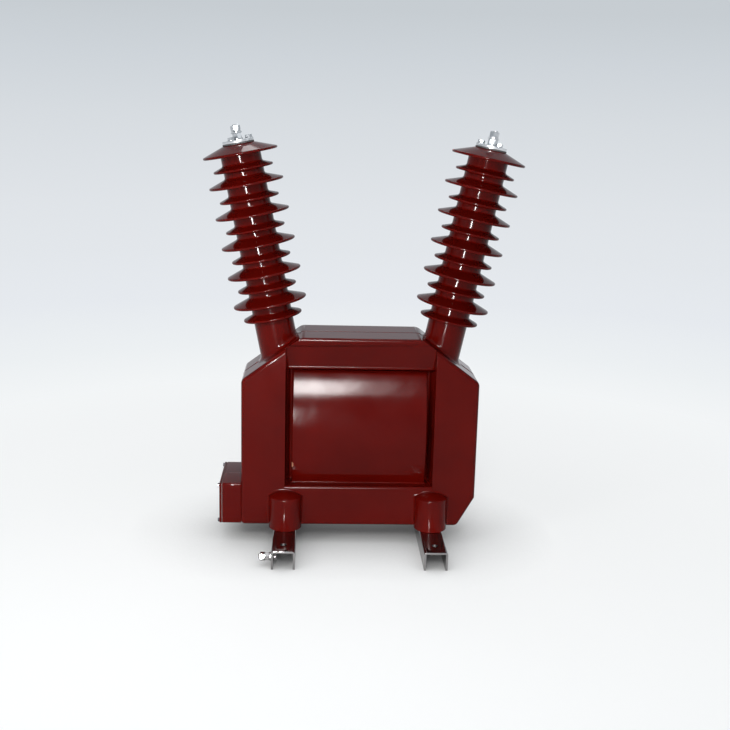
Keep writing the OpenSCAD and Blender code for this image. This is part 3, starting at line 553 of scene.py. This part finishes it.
def addPostFillet(bm, x, side):
    # concave strip up one side of the post, over its dome and down the other side
    p, f = post, postFillet
    edge, level, lean = postTopEdge()
    half = [(p["radius"], p["bottom"] + f["low"], 0), (p["radius"], p["top"] - p["rim"] - f["rimGap"], 0)]
    for k in range(f["rimSteps"] + 1):
        turn = lean * k / f["rimSteps"]
        inset, drop = 1 - cos(radians(turn)), 1 - sin(radians(turn))
        half.append((p["radius"] - p["rim"] * inset, p["top"] - p["rim"] * drop, turn))
    for k in range(1, p["domeSteps"] + 1):
        r = edge * (1 - k / p["domeSteps"])
        turn = 90 - atan2(2 * p["dome"] * r, edge ** 2) * 180 / pi
        half.append((r, level + p["dome"] * (1 - (r / edge) ** 2), turn))
    path = [(-r, z, 180 - turn) for r, z, turn in half] + list(reversed(half[:-1]))
    face = housing["halfDepth"] - f["sink"]
    rows = []
    for u, z, turn in path:
        across, up = cos(radians(turn)), sin(radians(turn))
        size = f["radius"] * (1 - f["thinning"] * up)
        row = []
        for a, b in arcPoints(size, size, size, 270, 180, 7):
            reach = a - f["sink"] - f["curl"] * (b / size) ** 2
            row.append(((x + u + reach * across) * mm, side * (face + b) * mm, (z + reach * up) * mm))
        rows.append(row)
    sweepSections(bm, rows)


bushing = dict(
    halfSpacing=199.5, height=527, tilt=11.5, pitch=64.5, count=6, largeRadius=79.93, smallRadius=64,
    stemRadius=43, upperSlope=20, lowerSlope=5.5, tip=3, fillet=5, topRadius=34, topEdge=1.2, stemLow=-128,
    stemRing=-100, footFillet=11, footSink=0.05, footSteps=7, steps=80)


def onBushing(side):
    b = bushing
    return at(side * b["halfSpacing"], 0, b["height"]) @ turned("Y", radians(side * b["tilt"]))


def shedHeight(rim, r, slope, way):
    # height of a shed's upper (way 1) or lower (way -1) face at radius r, from its rim's middle
    tip = bushing["tip"]
    return way * tip / cos(radians(slope)) + (rim - tip - r) * tan(radians(slope))


def shedProfile(rim, t):
    b = bushing
    up, low, stem, fillet = b["upperSlope"], b["lowerSlope"], b["stemRadius"], b["fillet"]
    drop = fillet * (1 + sin(radians(low))) / cos(radians(low))
    rise = fillet * (1 - sin(radians(up))) / cos(radians(up))
    under = t + shedHeight(rim, stem, low, -1) - drop
    over = t + shedHeight(rim, stem, up, 1) + rise
    return [arcPoints(stem + fillet, under, fillet, 180, 90 - low, 5),
            arcPoints(rim - b["tip"], t, b["tip"], -90 - low, 90 - up, 8),
            arcPoints(stem + fillet, over, fillet, 270 - up, 180, 5)]


def bushingTop():
    b = bushing
    return (b["count"] - 1) * b["pitch"] + shedHeight(b["largeRadius"], b["topRadius"], b["upperSlope"], 1)


def bushingProfile():
    b = bushing
    points = [(0, b["stemLow"]), (b["stemRadius"], b["stemLow"]), (b["stemRadius"], b["stemRing"])]
    for i in range(b["count"]):
        for part in shedProfile(b["smallRadius"], (i - 0.5) * b["pitch"]):
            points += part
        parts = shedProfile(b["largeRadius"], i * b["pitch"])
        for part in parts if i < b["count"] - 1 else parts[:2]:
            points += part
    points += arcPoints(b["topRadius"] - b["topEdge"], bushingTop() - b["topEdge"], b["topEdge"], 70, 90, 2)
    points.append((0, bushingTop()))
    return points


def addBushings(bm):
    for side in sides:
        spinProfile(bm, bushingProfile(), bushing["steps"], onBushing(side))
        addFootFillet(bm, side)


def addFootFillet(bm, side):
    # concave skirt between the stem and the sloping shoulder
    b, h = bushing, housing
    place = onBushing(side)
    fall, run = h["top"] - h["shoulder"], h["halfWidth"] - h["halfTop"]
    normal = Vector((side * fall, 0, run)).normalized()
    onPlane = Vector((side * h["halfTop"] * mm, 0, h["top"] * mm))
    axis = place.to_3x3() @ Vector((0, 0, 1))
    reach = b["footFillet"] * mm
    rows = []
    for i in range(b["steps"] + 1):
        turn = 2 * pi * i / b["steps"]
        radial = place.to_3x3() @ Vector((cos(turn), sin(turn), 0))
        base = place.translation + radial * b["stemRadius"] * mm
        corner = base + axis * ((onPlane - base).dot(normal) / axis.dot(normal))
        along = (radial - normal * radial.dot(normal)).normalized()
        high = corner + axis * reach - radial * b["footSink"] * mm
        low = corner + along * reach - normal * b["footSink"] * mm
        shares = [k / b["footSteps"] for k in range(b["footSteps"] + 1)]
        rows.append([high * (1 - s) ** 2 + corner * 2 * s * (1 - s) + low * s ** 2 for s in shares])
    sweepSections(bm, rows)


def buildCasting():
    bm = housingMesh()
    addPanelRidges(bm)
    addPartingLine(bm)
    addPosts(bm)
    addBushings(bm)
    obj = makeObject("castBody", bm, resin, 40)
    smooth = obj.modifiers.new("faceWeights", "WEIGHTED_NORMAL")
    smooth.keep_sharp = True
    return finishPiece(obj, "resin_body")


casting = buildCasting()
print("casting built:", len(casting.data.polygons), "faces")


# hardware

hexCut = dict(crown=0.96, slope=30, lead=0.6, lip=0.02)


def hexProfile(flats, height, bore):
    # closed half section of a nut, or of a head where bore is 0
    flat, lead, lip = flats / 2, hexCut["lead"], hexCut["lip"]
    crown = flat * hexCut["crown"]
    outer = [(crown, 0), (flat, lip), (flat, height - lip), (crown, height)]
    if bore:
        r = bore / 2
        return [(r + lead, 0)] + outer + [(r + lead, height), (r, height - lead), (r, lead), (r + lead, 0)]
    return [(0, 0)] + outer + [(crown * 0.6, height), (0, height)]


def addHex(bm, place, flats, height, bore=0.0, steps=48):
    # a turned blank whose wall is pushed out to six flats, with sloping chamfers
    blank = bmesh.new()
    spinProfile(blank, hexProfile(flats, height, bore), steps)
    flat = flats / 2 * mm
    crown = flat * hexCut["crown"]
    for v in blank.verts:
        r = hypot(v.co.x, v.co.y)
        if r > flat * 0.99:
            turn = atan2(v.co.y, v.co.x)
            wall = flat / cos((turn + pi / 6) % (pi / 3) - pi / 6)
            drop = (wall - crown) * tan(radians(hexCut["slope"]))
            v.co.x *= wall / r
            v.co.y *= wall / r
            v.co.z = drop if v.co.z < height * mm / 2 else height * mm - drop
    joinInto(bm, blank, place)


def addRod(bm, place, diameter, low, high, chamfer=1.0, steps=40):
    r = diameter / 2
    tip = r - chamfer
    spinProfile(bm, [(0, low), (tip, low), (r, low + chamfer), (r, high - chamfer), (tip, high), (0, high)],
                steps, place)


def addThread(bm, place, diameter, pitch, low, high, steps=28):
    # a V thread: one notch profile carried up the rod as a screw
    r = diameter / 2
    depth = pitch * 0.55
    turns = ceil((high - low) / pitch)
    root = r - depth
    core = root - 0.4
    profile = [(core, low), (root, low + 0.08 * pitch), (r, low + 0.46 * pitch), (r, low + 0.58 * pitch),
               (root, low + 0.96 * pitch), (core, low + pitch)]
    thread = bmesh.new()
    verts, edges = drawLine(thread, [(x * mm, 0, z * mm) for x, z in profile])
    spin(thread, verts + edges, 2 * pi * (turns - 1), steps * (turns - 1), rise=pitch * mm / steps)
    joinInto(bm, thread, place)


def addWasher(bm, place, outer, bore, height, edge=0.35, steps=48):
    ro, ri = outer / 2, bore / 2
    top = height - edge
    section = [(ri, edge), (ri, top), (ri + edge, height), (ro - edge, height), (ro, top), (ro, edge),
               (ro - edge, 0), (ri + edge, 0), (ri, edge)]
    spinProfile(bm, section, steps, place)


def addSpringWasher(bm, place, outer, bore, height, split=1.6, edge=0.25, steps=44):
    # an open ring whose two ends stand a little apart
    ro, ri = outer / 2, bore / 2
    gap = split / ro
    lift = height * 0.22
    ring = bmesh.new()
    section = [(ri, 0), (ro, 0), (ro, height - lift), (ri, height - lift)]
    start = turned("Z", gap / 2)
    face = ring.faces.new([ring.verts.new(start @ Vector((x * mm, 0, z * mm))) for x, z in section])
    spin(ring, [face], 2 * pi - gap, steps, rise=lift * mm / steps)
    bmesh.ops.recalc_face_normals(ring, faces=ring.faces)
    bevelSharp(ring, edge, 2, 50)
    joinInto(bm, ring, place)


# a washer or spring washer is given as its diameter and height
terminal = dict(
    gasket=3, gasketInset=1.0, plate=6, plateRadius=33.5, plateEdge=0.8, stud=12, studOut=31, studIn=28,
    pitch=1.75, threadDepth=0.95, washer=(24, 2.5), washerGap=0.6, spring=(20.5, 3), springGap=0.4,
    springTurn=250, flats=18, nutHeight=10.8, nutGap=0.1, lowerTurn=12, upperTurn=38, bolt=8, boltCircle=24,
    boltFlats=13, boltHead=5.3, boltWasher=(16, 1.6), boltGap=0.4, boltIn=18)


def terminalHeights():
    t = terminal
    plate = bushingTop() + t["gasket"]
    stack = plate + t["plate"]
    lowerNut = stack + t["washer"][1]
    upperWasher = lowerNut + t["nutHeight"]
    spring = upperWasher + t["washer"][1]
    upperNut = spring + t["spring"][1]
    return dict(plate=plate, stack=stack, lowerNut=lowerNut, upperWasher=upperWasher, spring=spring,
                upperNut=upperNut)


def lifted(side, t, turn=0.0):
    return raised(onBushing(side), t, turn)


def plateBoltPlaces(side, t):
    for turn in (0, 120, 240):
        place = lifted(side, t, turn + (0 if side < 0 else 180))
        yield place @ at(terminal["boltCircle"], 0, 0)


def buildPlate(side):
    # round plate with a rounded rim, closed in the middle because the stack hides its holes
    t = terminal
    bm = bmesh.new()
    edge = t["plateEdge"]
    profile = [(0, 0), (t["plateRadius"] - edge, 0)]
    profile += arcPoints(t["plateRadius"] - edge, edge, edge, -90, 0, 3)[1:]
    profile += arcPoints(t["plateRadius"] - edge, t["plate"] - edge, edge, 0, 90, 3) + [(0, t["plate"])]
    spinProfile(bm, profile, 72, lifted(side, terminalHeights()["plate"]))
    obj = makeObject("terminalPlate" + sides[side], bm, tinPlate)
    return finishPiece(obj, "terminal_plate_" + sides[side].lower())


def buildTerminals():
    t = terminal
    z = terminalHeights()
    gaskets, studs, washers, lower, springs, upper, bolts, boltWashers = (bmesh.new() for _ in range(8))
    washer, washerTall = t["washer"]
    spring, springTall = t["spring"]
    boltWasher, boltWasherTall = t["boltWasher"]
    half, middle = t["gasket"] / 2, t["plateRadius"] - t["gasketInset"]
    bulge = [(0, 0)] + arcPoints(middle, half, half, -90, 90, 6) + [(0, t["gasket"])]
    core = t["stud"] - 2 * t["threadDepth"]
    top = z["stack"] + t["studOut"]
    deep = t["boltIn"] + t["gasket"] + t["plate"]
    nut = dict(flats=t["flats"], height=t["nutHeight"], bore=t["stud"] + t["nutGap"])
    for side in sides:
        buildPlate(side)
        spinProfile(gaskets, bulge, 64, lifted(side, bushingTop()))
        addRod(studs, onBushing(side), core, bushingTop() - t["studIn"], top, 0.6)
        addThread(studs, onBushing(side), t["stud"], t["pitch"], z["upperNut"] + 1, top - 0.2)
        for height in (z["stack"], z["upperWasher"]):
            addWasher(washers, lifted(side, height), washer, t["stud"] + t["washerGap"], washerTall)
        addHex(lower, lifted(side, z["lowerNut"], t["lowerTurn"]), **nut)
        place = lifted(side, z["spring"], t["springTurn"])
        addSpringWasher(springs, place, spring, t["stud"] + t["springGap"], springTall)
        addHex(upper, lifted(side, z["upperNut"], t["upperTurn"]), **nut)
        for i, place in enumerate(plateBoltPlaces(side, z["stack"])):
            addWasher(boltWashers, place, boltWasher, t["bolt"] + t["boltGap"], boltWasherTall, 0.3)
            head = place @ at(0, 0, boltWasherTall) @ turned("Z", 0.4 + i)  # heads stand at odd angles
            addHex(bolts, head, t["boltFlats"], t["boltHead"])
            addRod(bolts, place, t["bolt"], -deep, boltWasherTall + 1, 0.8, 24)
    finishPiece(makeObject("terminalGaskets", gaskets, rubber), "terminal_gaskets")
    finishHardware("terminalStuds", studs, "terminal_studs", zincBolt)
    finishHardware("terminalWashers", washers, "terminal_washers", zincBolt)
    finishHardware("terminalLowerNuts", lower, "terminal_lower_nuts", zincBolt, 25)
    finishHardware("terminalSpringWashers", springs, "terminal_spring_washers", zincBolt)
    finishHardware("terminalUpperNuts", upper, "terminal_upper_nuts", zincBolt, 25)
    finishHardware("plateBolts", bolts, "plate_bolts", zincBolt, 25)
    finishHardware("plateBoltWashers", boltWashers, "plate_bolt_washers", zincBolt)


buildTerminals()
print("bushing terminals built")


channel = dict(
    x=160, width=50, height=40, wall=4.5, bend=6, halfLength=230, hole=14, holeY=(-192, -84, 84, 192),
    earthY=-206, earthHole=11, cutEdge=0.5, drillIn=12, drillOut=8)


def channelOutline():
    c = channel
    half, inner = c["width"] / 2, c["bend"] - c["wall"]
    outside = arcPoints(half - c["bend"], c["height"] - c["bend"], c["bend"], 0, 90, 8)
    inside = arcPoints(half - c["bend"], c["height"] - c["bend"], inner, 90, 0, 4)
    right = [(half, 0)] + outside
    left = [(-x, z) for x, z in reversed(right)]
    underRight = inside + [(half - c["wall"], 0)]
    underLeft = [(-x, z) for x, z in reversed(underRight)]
    return right + left + underLeft + underRight


def earthPlace():
    # where the earth bolt leaves the left channel's outer wall, with Z pointing out of it
    c = channel
    return at(-(c["x"] + c["width"] / 2), c["earthY"], c["height"] / 2) @ turned("Y", -pi / 2)


def buildChannel(side):
    c = channel
    bm = bmesh.new()
    end = c["halfLength"] * mm
    outline = [((side * c["x"] + x) * mm, -end, z * mm) for x, z in channelOutline()]
    extrudeOutline(bm, outline, (0, 2 * end, 0))
    cuts = [e for e in bm.edges if abs(e.verts[0].co.y - e.verts[1].co.y) < 1e-6]
    bevelEdges(bm, cuts, c["cutEdge"], 2)
    name = "baseChannel" + sides[side]
    block = makeObject(name + "Blank", bm, zincPlate)
    holes = [(at(side * c["x"], y, c["height"]), c["hole"]) for y in c["holeY"]]
    if side < 0:
        holes.append((earthPlace(), c["earthHole"]))
    drills = []
    for place, diameter in holes:
        drill = bmesh.new()
        addRod(drill, place, diameter, -c["drillIn"], c["drillOut"], 0.5)
        drills.append(makeObject("drill", drill, zincPlate))
    obj = makeObject(name, carve(block, drills), zincPlate, 30)
    return finishPiece(obj, "base_channel_" + sides[side].lower())


for side in sides:
    buildChannel(side)
print("base channels built")


earth = dict(
    diameter=10, flats=16, head=6.4, headTurn=8, nut=8.4, nutGap=0.1, nutTurns=(20, 47), washer=(20, 2),
    washerGap=0.5, spring=(17.5, 2.6), springGap=0.4, springTurn=200, pitch=1.5, threadDepth=0.8, spare=3)


def buildEarthBolt():
    e, wall = earth, channel["wall"]
    place = earthPlace()
    washer, washerTall = e["washer"]
    spring, springTall = e["spring"]
    nutAt = washerTall + springTall
    outerAt = nutAt + e["nut"]
    end = outerAt + washerTall + e["nut"] + e["spare"]
    bolt, washers, springs, nuts = (bmesh.new() for _ in range(4))
    addHex(bolt, raised(place, -wall - e["head"], e["headTurn"]), e["flats"], e["head"])
    addRod(bolt, place, e["diameter"] - 2 * e["threadDepth"], -wall - 1, end, 0.6)
    addRod(bolt, place, e["diameter"], -wall - 1, nutAt + 2, 0.2)
    addThread(bolt, place, e["diameter"], e["pitch"], outerAt + 4, end - 0.3)
    for z in (0, outerAt):
        addWasher(washers, raised(place, z), washer, e["diameter"] + e["washerGap"], washerTall)
    springPlace = raised(place, washerTall, e["springTurn"])
    addSpringWasher(springs, springPlace, spring, e["diameter"] + e["springGap"], springTall)
    for z, turn in zip((nutAt, outerAt + washerTall), e["nutTurns"]):
        addHex(nuts, raised(place, z, turn), e["flats"], e["nut"], e["diameter"] + e["nutGap"])
    finishHardware("earthBolt", bolt, "earth_bolt", earthZinc, 25)
    finishHardware("earthWashers", washers, "earth_washers", earthZinc)
    finishHardware("earthSpringWasher", springs, "earth_spring_washer", earthZinc)
    finishHardware("earthNuts", nuts, "earth_nuts", earthZinc, 25)


buildEarthBolt()
print("earth bolt built")


foot = dict(diameter=12, flats=18, head=7.5, washer=(24, 2.5), spring=(20.5, 3), gap=0.4, boltIn=32)


def buildFootBolts():
    f, c, p = foot, channel, post
    bolts, washers, springs = (bmesh.new() for _ in range(3))
    washer, washerTall = f["washer"]
    spring, springTall = f["spring"]
    bore = f["diameter"] + f["gap"]
    washerAt = c["height"] - c["wall"] - washerTall
    springAt = washerAt - springTall
    for x, y in corners:
        place = at(x * p["x"], y * p["y"], 0)
        turn = turned("Z", 0.3 + x + 0.4 * y)  # heads stand at odd angles
        addHex(bolts, place @ at(0, 0, springAt - f["head"]) @ turn, f["flats"], f["head"])
        addRod(bolts, place, f["diameter"], springAt - 1, c["height"] + f["boltIn"], 0.8, 32)
        addWasher(washers, place @ at(0, 0, washerAt), washer, bore, washerTall)
        addSpringWasher(springs, place @ at(0, 0, springAt) @ turn, spring, bore, springTall)
    finishHardware("footBolts", bolts, "foot_bolts", zincBolt, 25)
    finishHardware("footWashers", washers, "foot_washers", zincBolt)
    finishHardware("footSpringWashers", springs, "foot_spring_washers", zincBolt)


buildFootBolts()
print("foot bolts built")


box = dict(
    rim=-298.5, back=-257, front=-74, rear=82, bottom=42, top=134, wall=5, corner=4, edge=1.6, cutterOut=5,
    cover=5, coverAt=-305, coverEdge=2.0, boss=12, screw=5, screwFlats=8, screwHead=3.5, screwLength=22)


def addRoundedBlock(bm, xs, ys, zs, corner, edge):
    block = bmesh.new()
    (x0, x1), (y0, y1), (z0, z1) = xs, ys, zs
    outline = [(x0 * mm, y * mm, z * mm) for y, z in ((y0, z0), (y1, z0), (y1, z1), (y0, z1))]
    extrudeOutline(block, outline, ((x1 - x0) * mm, 0, 0))
    lengthwise = [e for e in block.edges if abs(e.verts[0].co.x - e.verts[1].co.x) > mm]
    bevelEdges(block, lengthwise, corner, 6)
    if edge:
        bevelSharp(block, edge, 4, 60)
    joinInto(bm, block)


def buildTerminalBox():
    b = box
    shell, hollow, cover, screws = (bmesh.new() for _ in range(4))
    ys, zs, wall, inset = (b["front"], b["rear"]), (b["bottom"], b["top"]), b["wall"], b["boss"] / 2
    addRoundedBlock(shell, (b["rim"], b["back"]), ys, zs, b["corner"], b["edge"])
    addRoundedBlock(hollow, (b["rim"] - b["cutterOut"], b["back"] - wall), (ys[0] + wall, ys[1] - wall),
                    (zs[0] + wall, zs[1] - wall), b["corner"], 0)
    shell = carve(makeObject("boxBlank", shell, resin), [makeObject("boxHollow", hollow, resin)])
    finishPiece(makeObject("terminalBox", shell, resin, 50), "terminal_box")
    addRoundedBlock(cover, (b["coverAt"], b["coverAt"] + b["cover"]), ys, zs, b["corner"], b["coverEdge"])
    finishPiece(makeObject("boxCover", cover, resin, 50), "box_cover")
    for y in (ys[0] + inset, ys[1] - inset):
        for z in (zs[0] + inset, zs[1] - inset):
            place = at(b["coverAt"], y, z) @ turned("Y", -pi / 2)
            addHex(screws, place @ turned("Z", 0.4 + y + z), b["screwFlats"], b["screwHead"], steps=36)
            addRod(screws, place, b["screw"], -b["screwLength"], 1, 0.5, 24)
    finishHardware("coverScrews", screws, "cover_screws", blackSteel, 25)


buildTerminalBox()
print("terminal box built")


gland = dict(
    x=-280.25, y=-4, level=42, hexFlats=26, hexHeight=6, thread=20, threadDepth=0.8, pitch=1.5, up=14,
    bore=14, tail=22, tailLength=12, edge=0.4, capFlats=28, capGap=0.4, capTop=-7, capLow=-21, nose=5,
    noseInset=0.6, cable=10)


def buildGland():
    # body with its hexagon under the box, and a cap with a rounded nose
    g = gland
    place = at(g["x"], g["y"], g["level"])
    body, cap = bmesh.new(), bmesh.new()
    edge, ri = g["edge"], g["bore"] / 2
    addHex(body, place @ at(0, 0, -g["hexHeight"]), g["hexFlats"], g["hexHeight"], g["bore"])
    tubes = [(g["thread"] - 2 * g["threadDepth"], -1, g["up"]),
             (g["tail"], -g["hexHeight"] - g["tailLength"], -g["hexHeight"] + 1)]
    for outer, low, high in tubes:
        ro = outer / 2
        section = [(ri, low), (ro - edge, low), (ro, low + edge), (ro, high - edge), (ro - edge, high),
                   (ri, high), (ri, low)]
        spinProfile(body, section, 48, place)
    addThread(body, place, g["thread"], g["pitch"], 0, g["up"] - 0.5)
    noseTop = g["capLow"] + g["nose"]
    addHex(cap, place @ at(0, 0, noseTop), g["capFlats"], g["capTop"] - noseTop, g["tail"] + g["capGap"])
    ro, ri = g["capFlats"] / 2 - g["noseInset"], g["cable"] / 2
    nose = [(ri, noseTop + 1), (ri, g["capLow"] + 0.5), (ri + 0.5, g["capLow"])]
    nose += arcPoints(ro - g["nose"], noseTop, g["nose"], -90, 0, 8) + [(ro, noseTop + 1), (ri, noseTop + 1)]
    spinProfile(cap, nose, 56, place)
    finishPiece(makeObject("glandBody", body, nylon, 25), "gland_body")
    finishPiece(makeObject("glandCap", cap, nylon, 25), "gland_cap")


buildGland()
print("gland built")


# the nodes whose shape is right as it is get their finish here
finishes = dict(
    cover_gasket=redRubber, gland_lock_nut=nylon, gland_seal=rubber, core_half_left=coreSteel,
    core_half_right=coreSteel, core_band=zincBolt, winding_former=pressboard, secondary_winding=copperWire,
    primary_winding=copperWire, primary_lead_left=copperWire, primary_lead_right=copperWire,
    secondary_leads=copperWire, stud_inserts=brassTurned, plate_inserts=brassTurned, foot_inserts=brassTurned,
    box_inserts=brassTurned, box_screws=zincBolt, terminal_board=phenolic, board_screws=zincBolt,
    secondary_studs=brassTurned, secondary_washers=brassTurned, secondary_nuts=brassTurned)
for name, material in finishes.items():
    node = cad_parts[name]
    node.data.materials.clear()
    node.data.materials.append(material)
print("finishes set on", len(finishes), "nodes")


# stage, light and camera

# floor tones run outwards from the object, palest near it as a painted falloff of light, sky tones upwards,
# lit tones from the front to the back
stage = dict(
    floorHalf=9.0, floorTone=0.9, bounceTone=0.55, floorGrain=180.0, floorRough=0.85, floorSpecular=0.05,
    glow=0.75, glowFrom=0.5, glowTo=1.5, paintedShadeReach=0.22, toneReach=10.0,
    floorTones=[(0.09, (0.92, 0.94, 0.95)), (0.14, (0.90, 0.92, 0.93)), (0.21, (0.84, 0.87, 0.89)),
                (0.32, (0.79, 0.82, 0.86)), (0.52, (0.765, 0.795, 0.83)), (0.9, (0.745, 0.775, 0.81))],
    skyTones=[(0.09, (0.745, 0.775, 0.81)), (0.465, (0.68, 0.715, 0.75)), (0.72, (0.62, 0.66, 0.70)),
              (0.925, (0.57, 0.61, 0.645))],
    litTones=[(0.0, 0.5), (0.35, 0.37), (0.6, 0.33), (1.0, 0.35)])


def backdropRays(tree):
    # 1 for the rays that show the backdrop: from the camera, and off shiny or through clear surfaces
    path = tree.nodes.new("ShaderNodeLightPath")
    shiny = mathNode(tree, "MAXIMUM", path.outputs["Is Glossy Ray"], path.outputs["Is Transmission Ray"])
    return mathNode(tree, "MAXIMUM", path.outputs["Is Camera Ray"], shiny)


def buildFloor():
    s = stage
    bm = bmesh.new()
    bmesh.ops.create_grid(bm, x_segments=2, y_segments=2, size=s["floorHalf"])
    material, tree, shader = newMaterial("paleFloor")
    coords = objectCoords(tree)
    fine = noise(tree, coords, s["floorGrain"], 4.0)
    tone = mixColour(tree, fine, (s["floorTone"],) * 3, (s["floorTone"] * 0.97,) * 3)
    # pale for the camera and in what shiny surfaces mirror, dimmer as a bounce
    seen = backdropRays(tree)
    setLook(tree, shader, Base_Color=mixColour(tree, seen, (s["bounceTone"],) * 3, tone),
            Roughness=s["floorRough"], Specular_IOR_Level=s["floorSpecular"])
    # for those rays the floor glows in the backdrop's tones, darkened near and under the object by painted
    # shade from ambient occlusion
    away = vectorNode(tree, "LENGTH", coords)
    tones = ramp(tree, mathNode(tree, "DIVIDE", away, s["toneReach"], clamp=True), s["floorTones"])
    shade = addNode(tree, "ShaderNodeAmbientOcclusion", samples=8, Distance=s["paintedShadeReach"], Color=tones)
    glow = addNode(tree, "ShaderNodeEmission", Strength=1.0, Color=shade.outputs["Color"])
    past = mathNode(tree, "SUBTRACT", away, s["glowFrom"])
    far = mathNode(tree, "DIVIDE", past, s["glowTo"] - s["glowFrom"], clamp=True)
    share = mathNode(tree, "MULTIPLY_ADD", far, 1 - s["glow"], s["glow"])
    mixed = mixShader(tree, mathNode(tree, "MULTIPLY", share, seen), shader, glow)
    tree.links.new(mixed, tree.nodes["Material Output"].inputs["Surface"])
    obj = makeObject("floor", bm, material)


def buildWorld():
    world = bpy.data.worlds.new("studio")
    scene.world = world
    world.use_nodes = True
    tree = world.node_tree
    tree.nodes.clear()
    coords = tree.nodes.new("ShaderNodeTexCoord").outputs["Generated"]
    split = addNode(tree, "ShaderNodeSeparateXYZ", Vector=coords)
    rise = mathNode(tree, "MULTIPLY_ADD", split.outputs["Z"], 5.0, 0.5, clamp=True)
    seen = addNode(tree, "ShaderNodeBackground", Strength=1.0, Color=ramp(tree, rise, stage["skyTones"]))
    # what lights the dull surfaces, most of it from the front
    depth = mathNode(tree, "MULTIPLY_ADD", split.outputs["Y"], 0.5, 0.5)
    lit = addNode(tree, "ShaderNodeBackground", Strength=1.0, Color=ramp(tree, depth, stage["litTones"]))
    addNode(tree, "ShaderNodeOutputWorld", Surface=mixShader(tree, backdropRays(tree), lit, seen))


# a twin is a second lamp in the same place, and the order of the two changes how bright they gleam
# spread=False hides a lamp from dull surfaces, mirrored=False from shiny ones
lamps = [
    dict(name="drumLight", at=(-0.02, -1.95, 1.44), aim=(-0.02, 0, 0.35), size=(0.52, 0.50), power=38,
         tint=(1, 0.99, 0.98), fade=[(0.0, 1.0), (0.42, 1.0), (0.62, 0.25), (1.0, 0.03)],
         twin=dict(name="drumGleam", power=305, spread=False)),
    dict(name="stemGleam", at=(-0.40, -2.6, 0.47), aim=(-0.2, 0, 0.6), size=(0.17, 0.6), power=118,
         tint=(1, 1, 1), spread=False, twin=dict(name="stemStrip", power=26, spread=True)),
    dict(name="leftKey", at=(-1.25, -1.15, 0.9), aim=(0, 0, 0.4), size=(0.4, 0.5), power=14,
         tint=(1, 0.985, 0.96), mirrored=False),
    dict(name="ceiling", at=(0.2, -0.2, 2.7), aim=(0, 0, 0.4), size=(2.0, 1.4), power=8, tint=(1, 1, 1)),
    dict(name="wallRight", at=(2.3, -0.5, 1.2), aim=(0, 0, 0.5), size=(0.3, 1.2), power=1.0,
         tint=(0.97, 0.98, 1)),
    dict(name="backLight", at=(-0.15, 2.3, 2.9), aim=(0, 0, 0.6), size=(1.3, 0.7), power=12, tint=(1, 1, 1))]


def buildLamps():
    for lamp in lamps:
        addLamp(lamp)
        if "twin" in lamp:
            addLamp({**lamp, **lamp["twin"]})


def addLamp(lamp):
    data = bpy.data.lights.new(lamp["name"], "AREA")
    data.shape = "RECTANGLE"
    data.size, data.size_y = lamp["size"]
    data.energy = lamp["power"]
    data.color = lamp["tint"]
    if "fade" in lamp:
        fadeLamp(data, lamp["fade"])
    obj = bpy.data.objects.new(lamp["name"], data)
    scene.collection.objects.link(obj)
    obj.location = lamp["at"]
    obj.rotation_euler = (Vector(lamp["aim"]) - Vector(lamp["at"])).to_track_quat("-Z", "Y").to_euler()
    obj.visible_glossy = lamp.get("mirrored", True)
    obj.visible_diffuse = lamp.get("spread", True)


def fadeLamp(data, stops):
    # strength that falls off across the lamp's width
    data.use_nodes = True
    tree = data.node_tree
    geometry = tree.nodes.new("ShaderNodeNewGeometry")
    split = addNode(tree, "ShaderNodeSeparateXYZ", Vector=geometry.outputs["Parametric"])
    tree.links.new(ramp(tree, split.outputs["X"], stops), tree.nodes["Emission"].inputs["Strength"])


shot = dict(at=(-0.09913, -2.3838, 0.93406), yaw=2.65, pitch=-12.90, roll=1.46, focalPixels=1105.6,
            imagePixels=730, sensor=36)


def buildCamera():
    s = shot
    yaw, pitch, roll = radians(s["yaw"]), radians(s["pitch"]), radians(s["roll"])
    forward = Vector((sin(yaw) * cos(pitch), cos(yaw) * cos(pitch), sin(pitch)))
    level = Vector((cos(yaw), -sin(yaw), 0))
    upright = level.cross(forward)
    right = level * cos(roll) + upright * sin(roll)
    up = upright * cos(roll) - level * sin(roll)
    data = bpy.data.cameras.new("photoCamera")
    data.sensor_width = s["sensor"]
    data.lens = s["sensor"] * s["focalPixels"] / s["imagePixels"]
    obj = bpy.data.objects.new("photoCamera", data)
    scene.collection.objects.link(obj)
    turn = Matrix((right, up, -forward)).transposed().to_4x4()
    obj.matrix_world = Matrix.Translation(s["at"]) @ turn
    scene.camera = obj


buildFloor()
buildWorld()
buildLamps()
buildCamera()
print("stage, lamps and camera set")
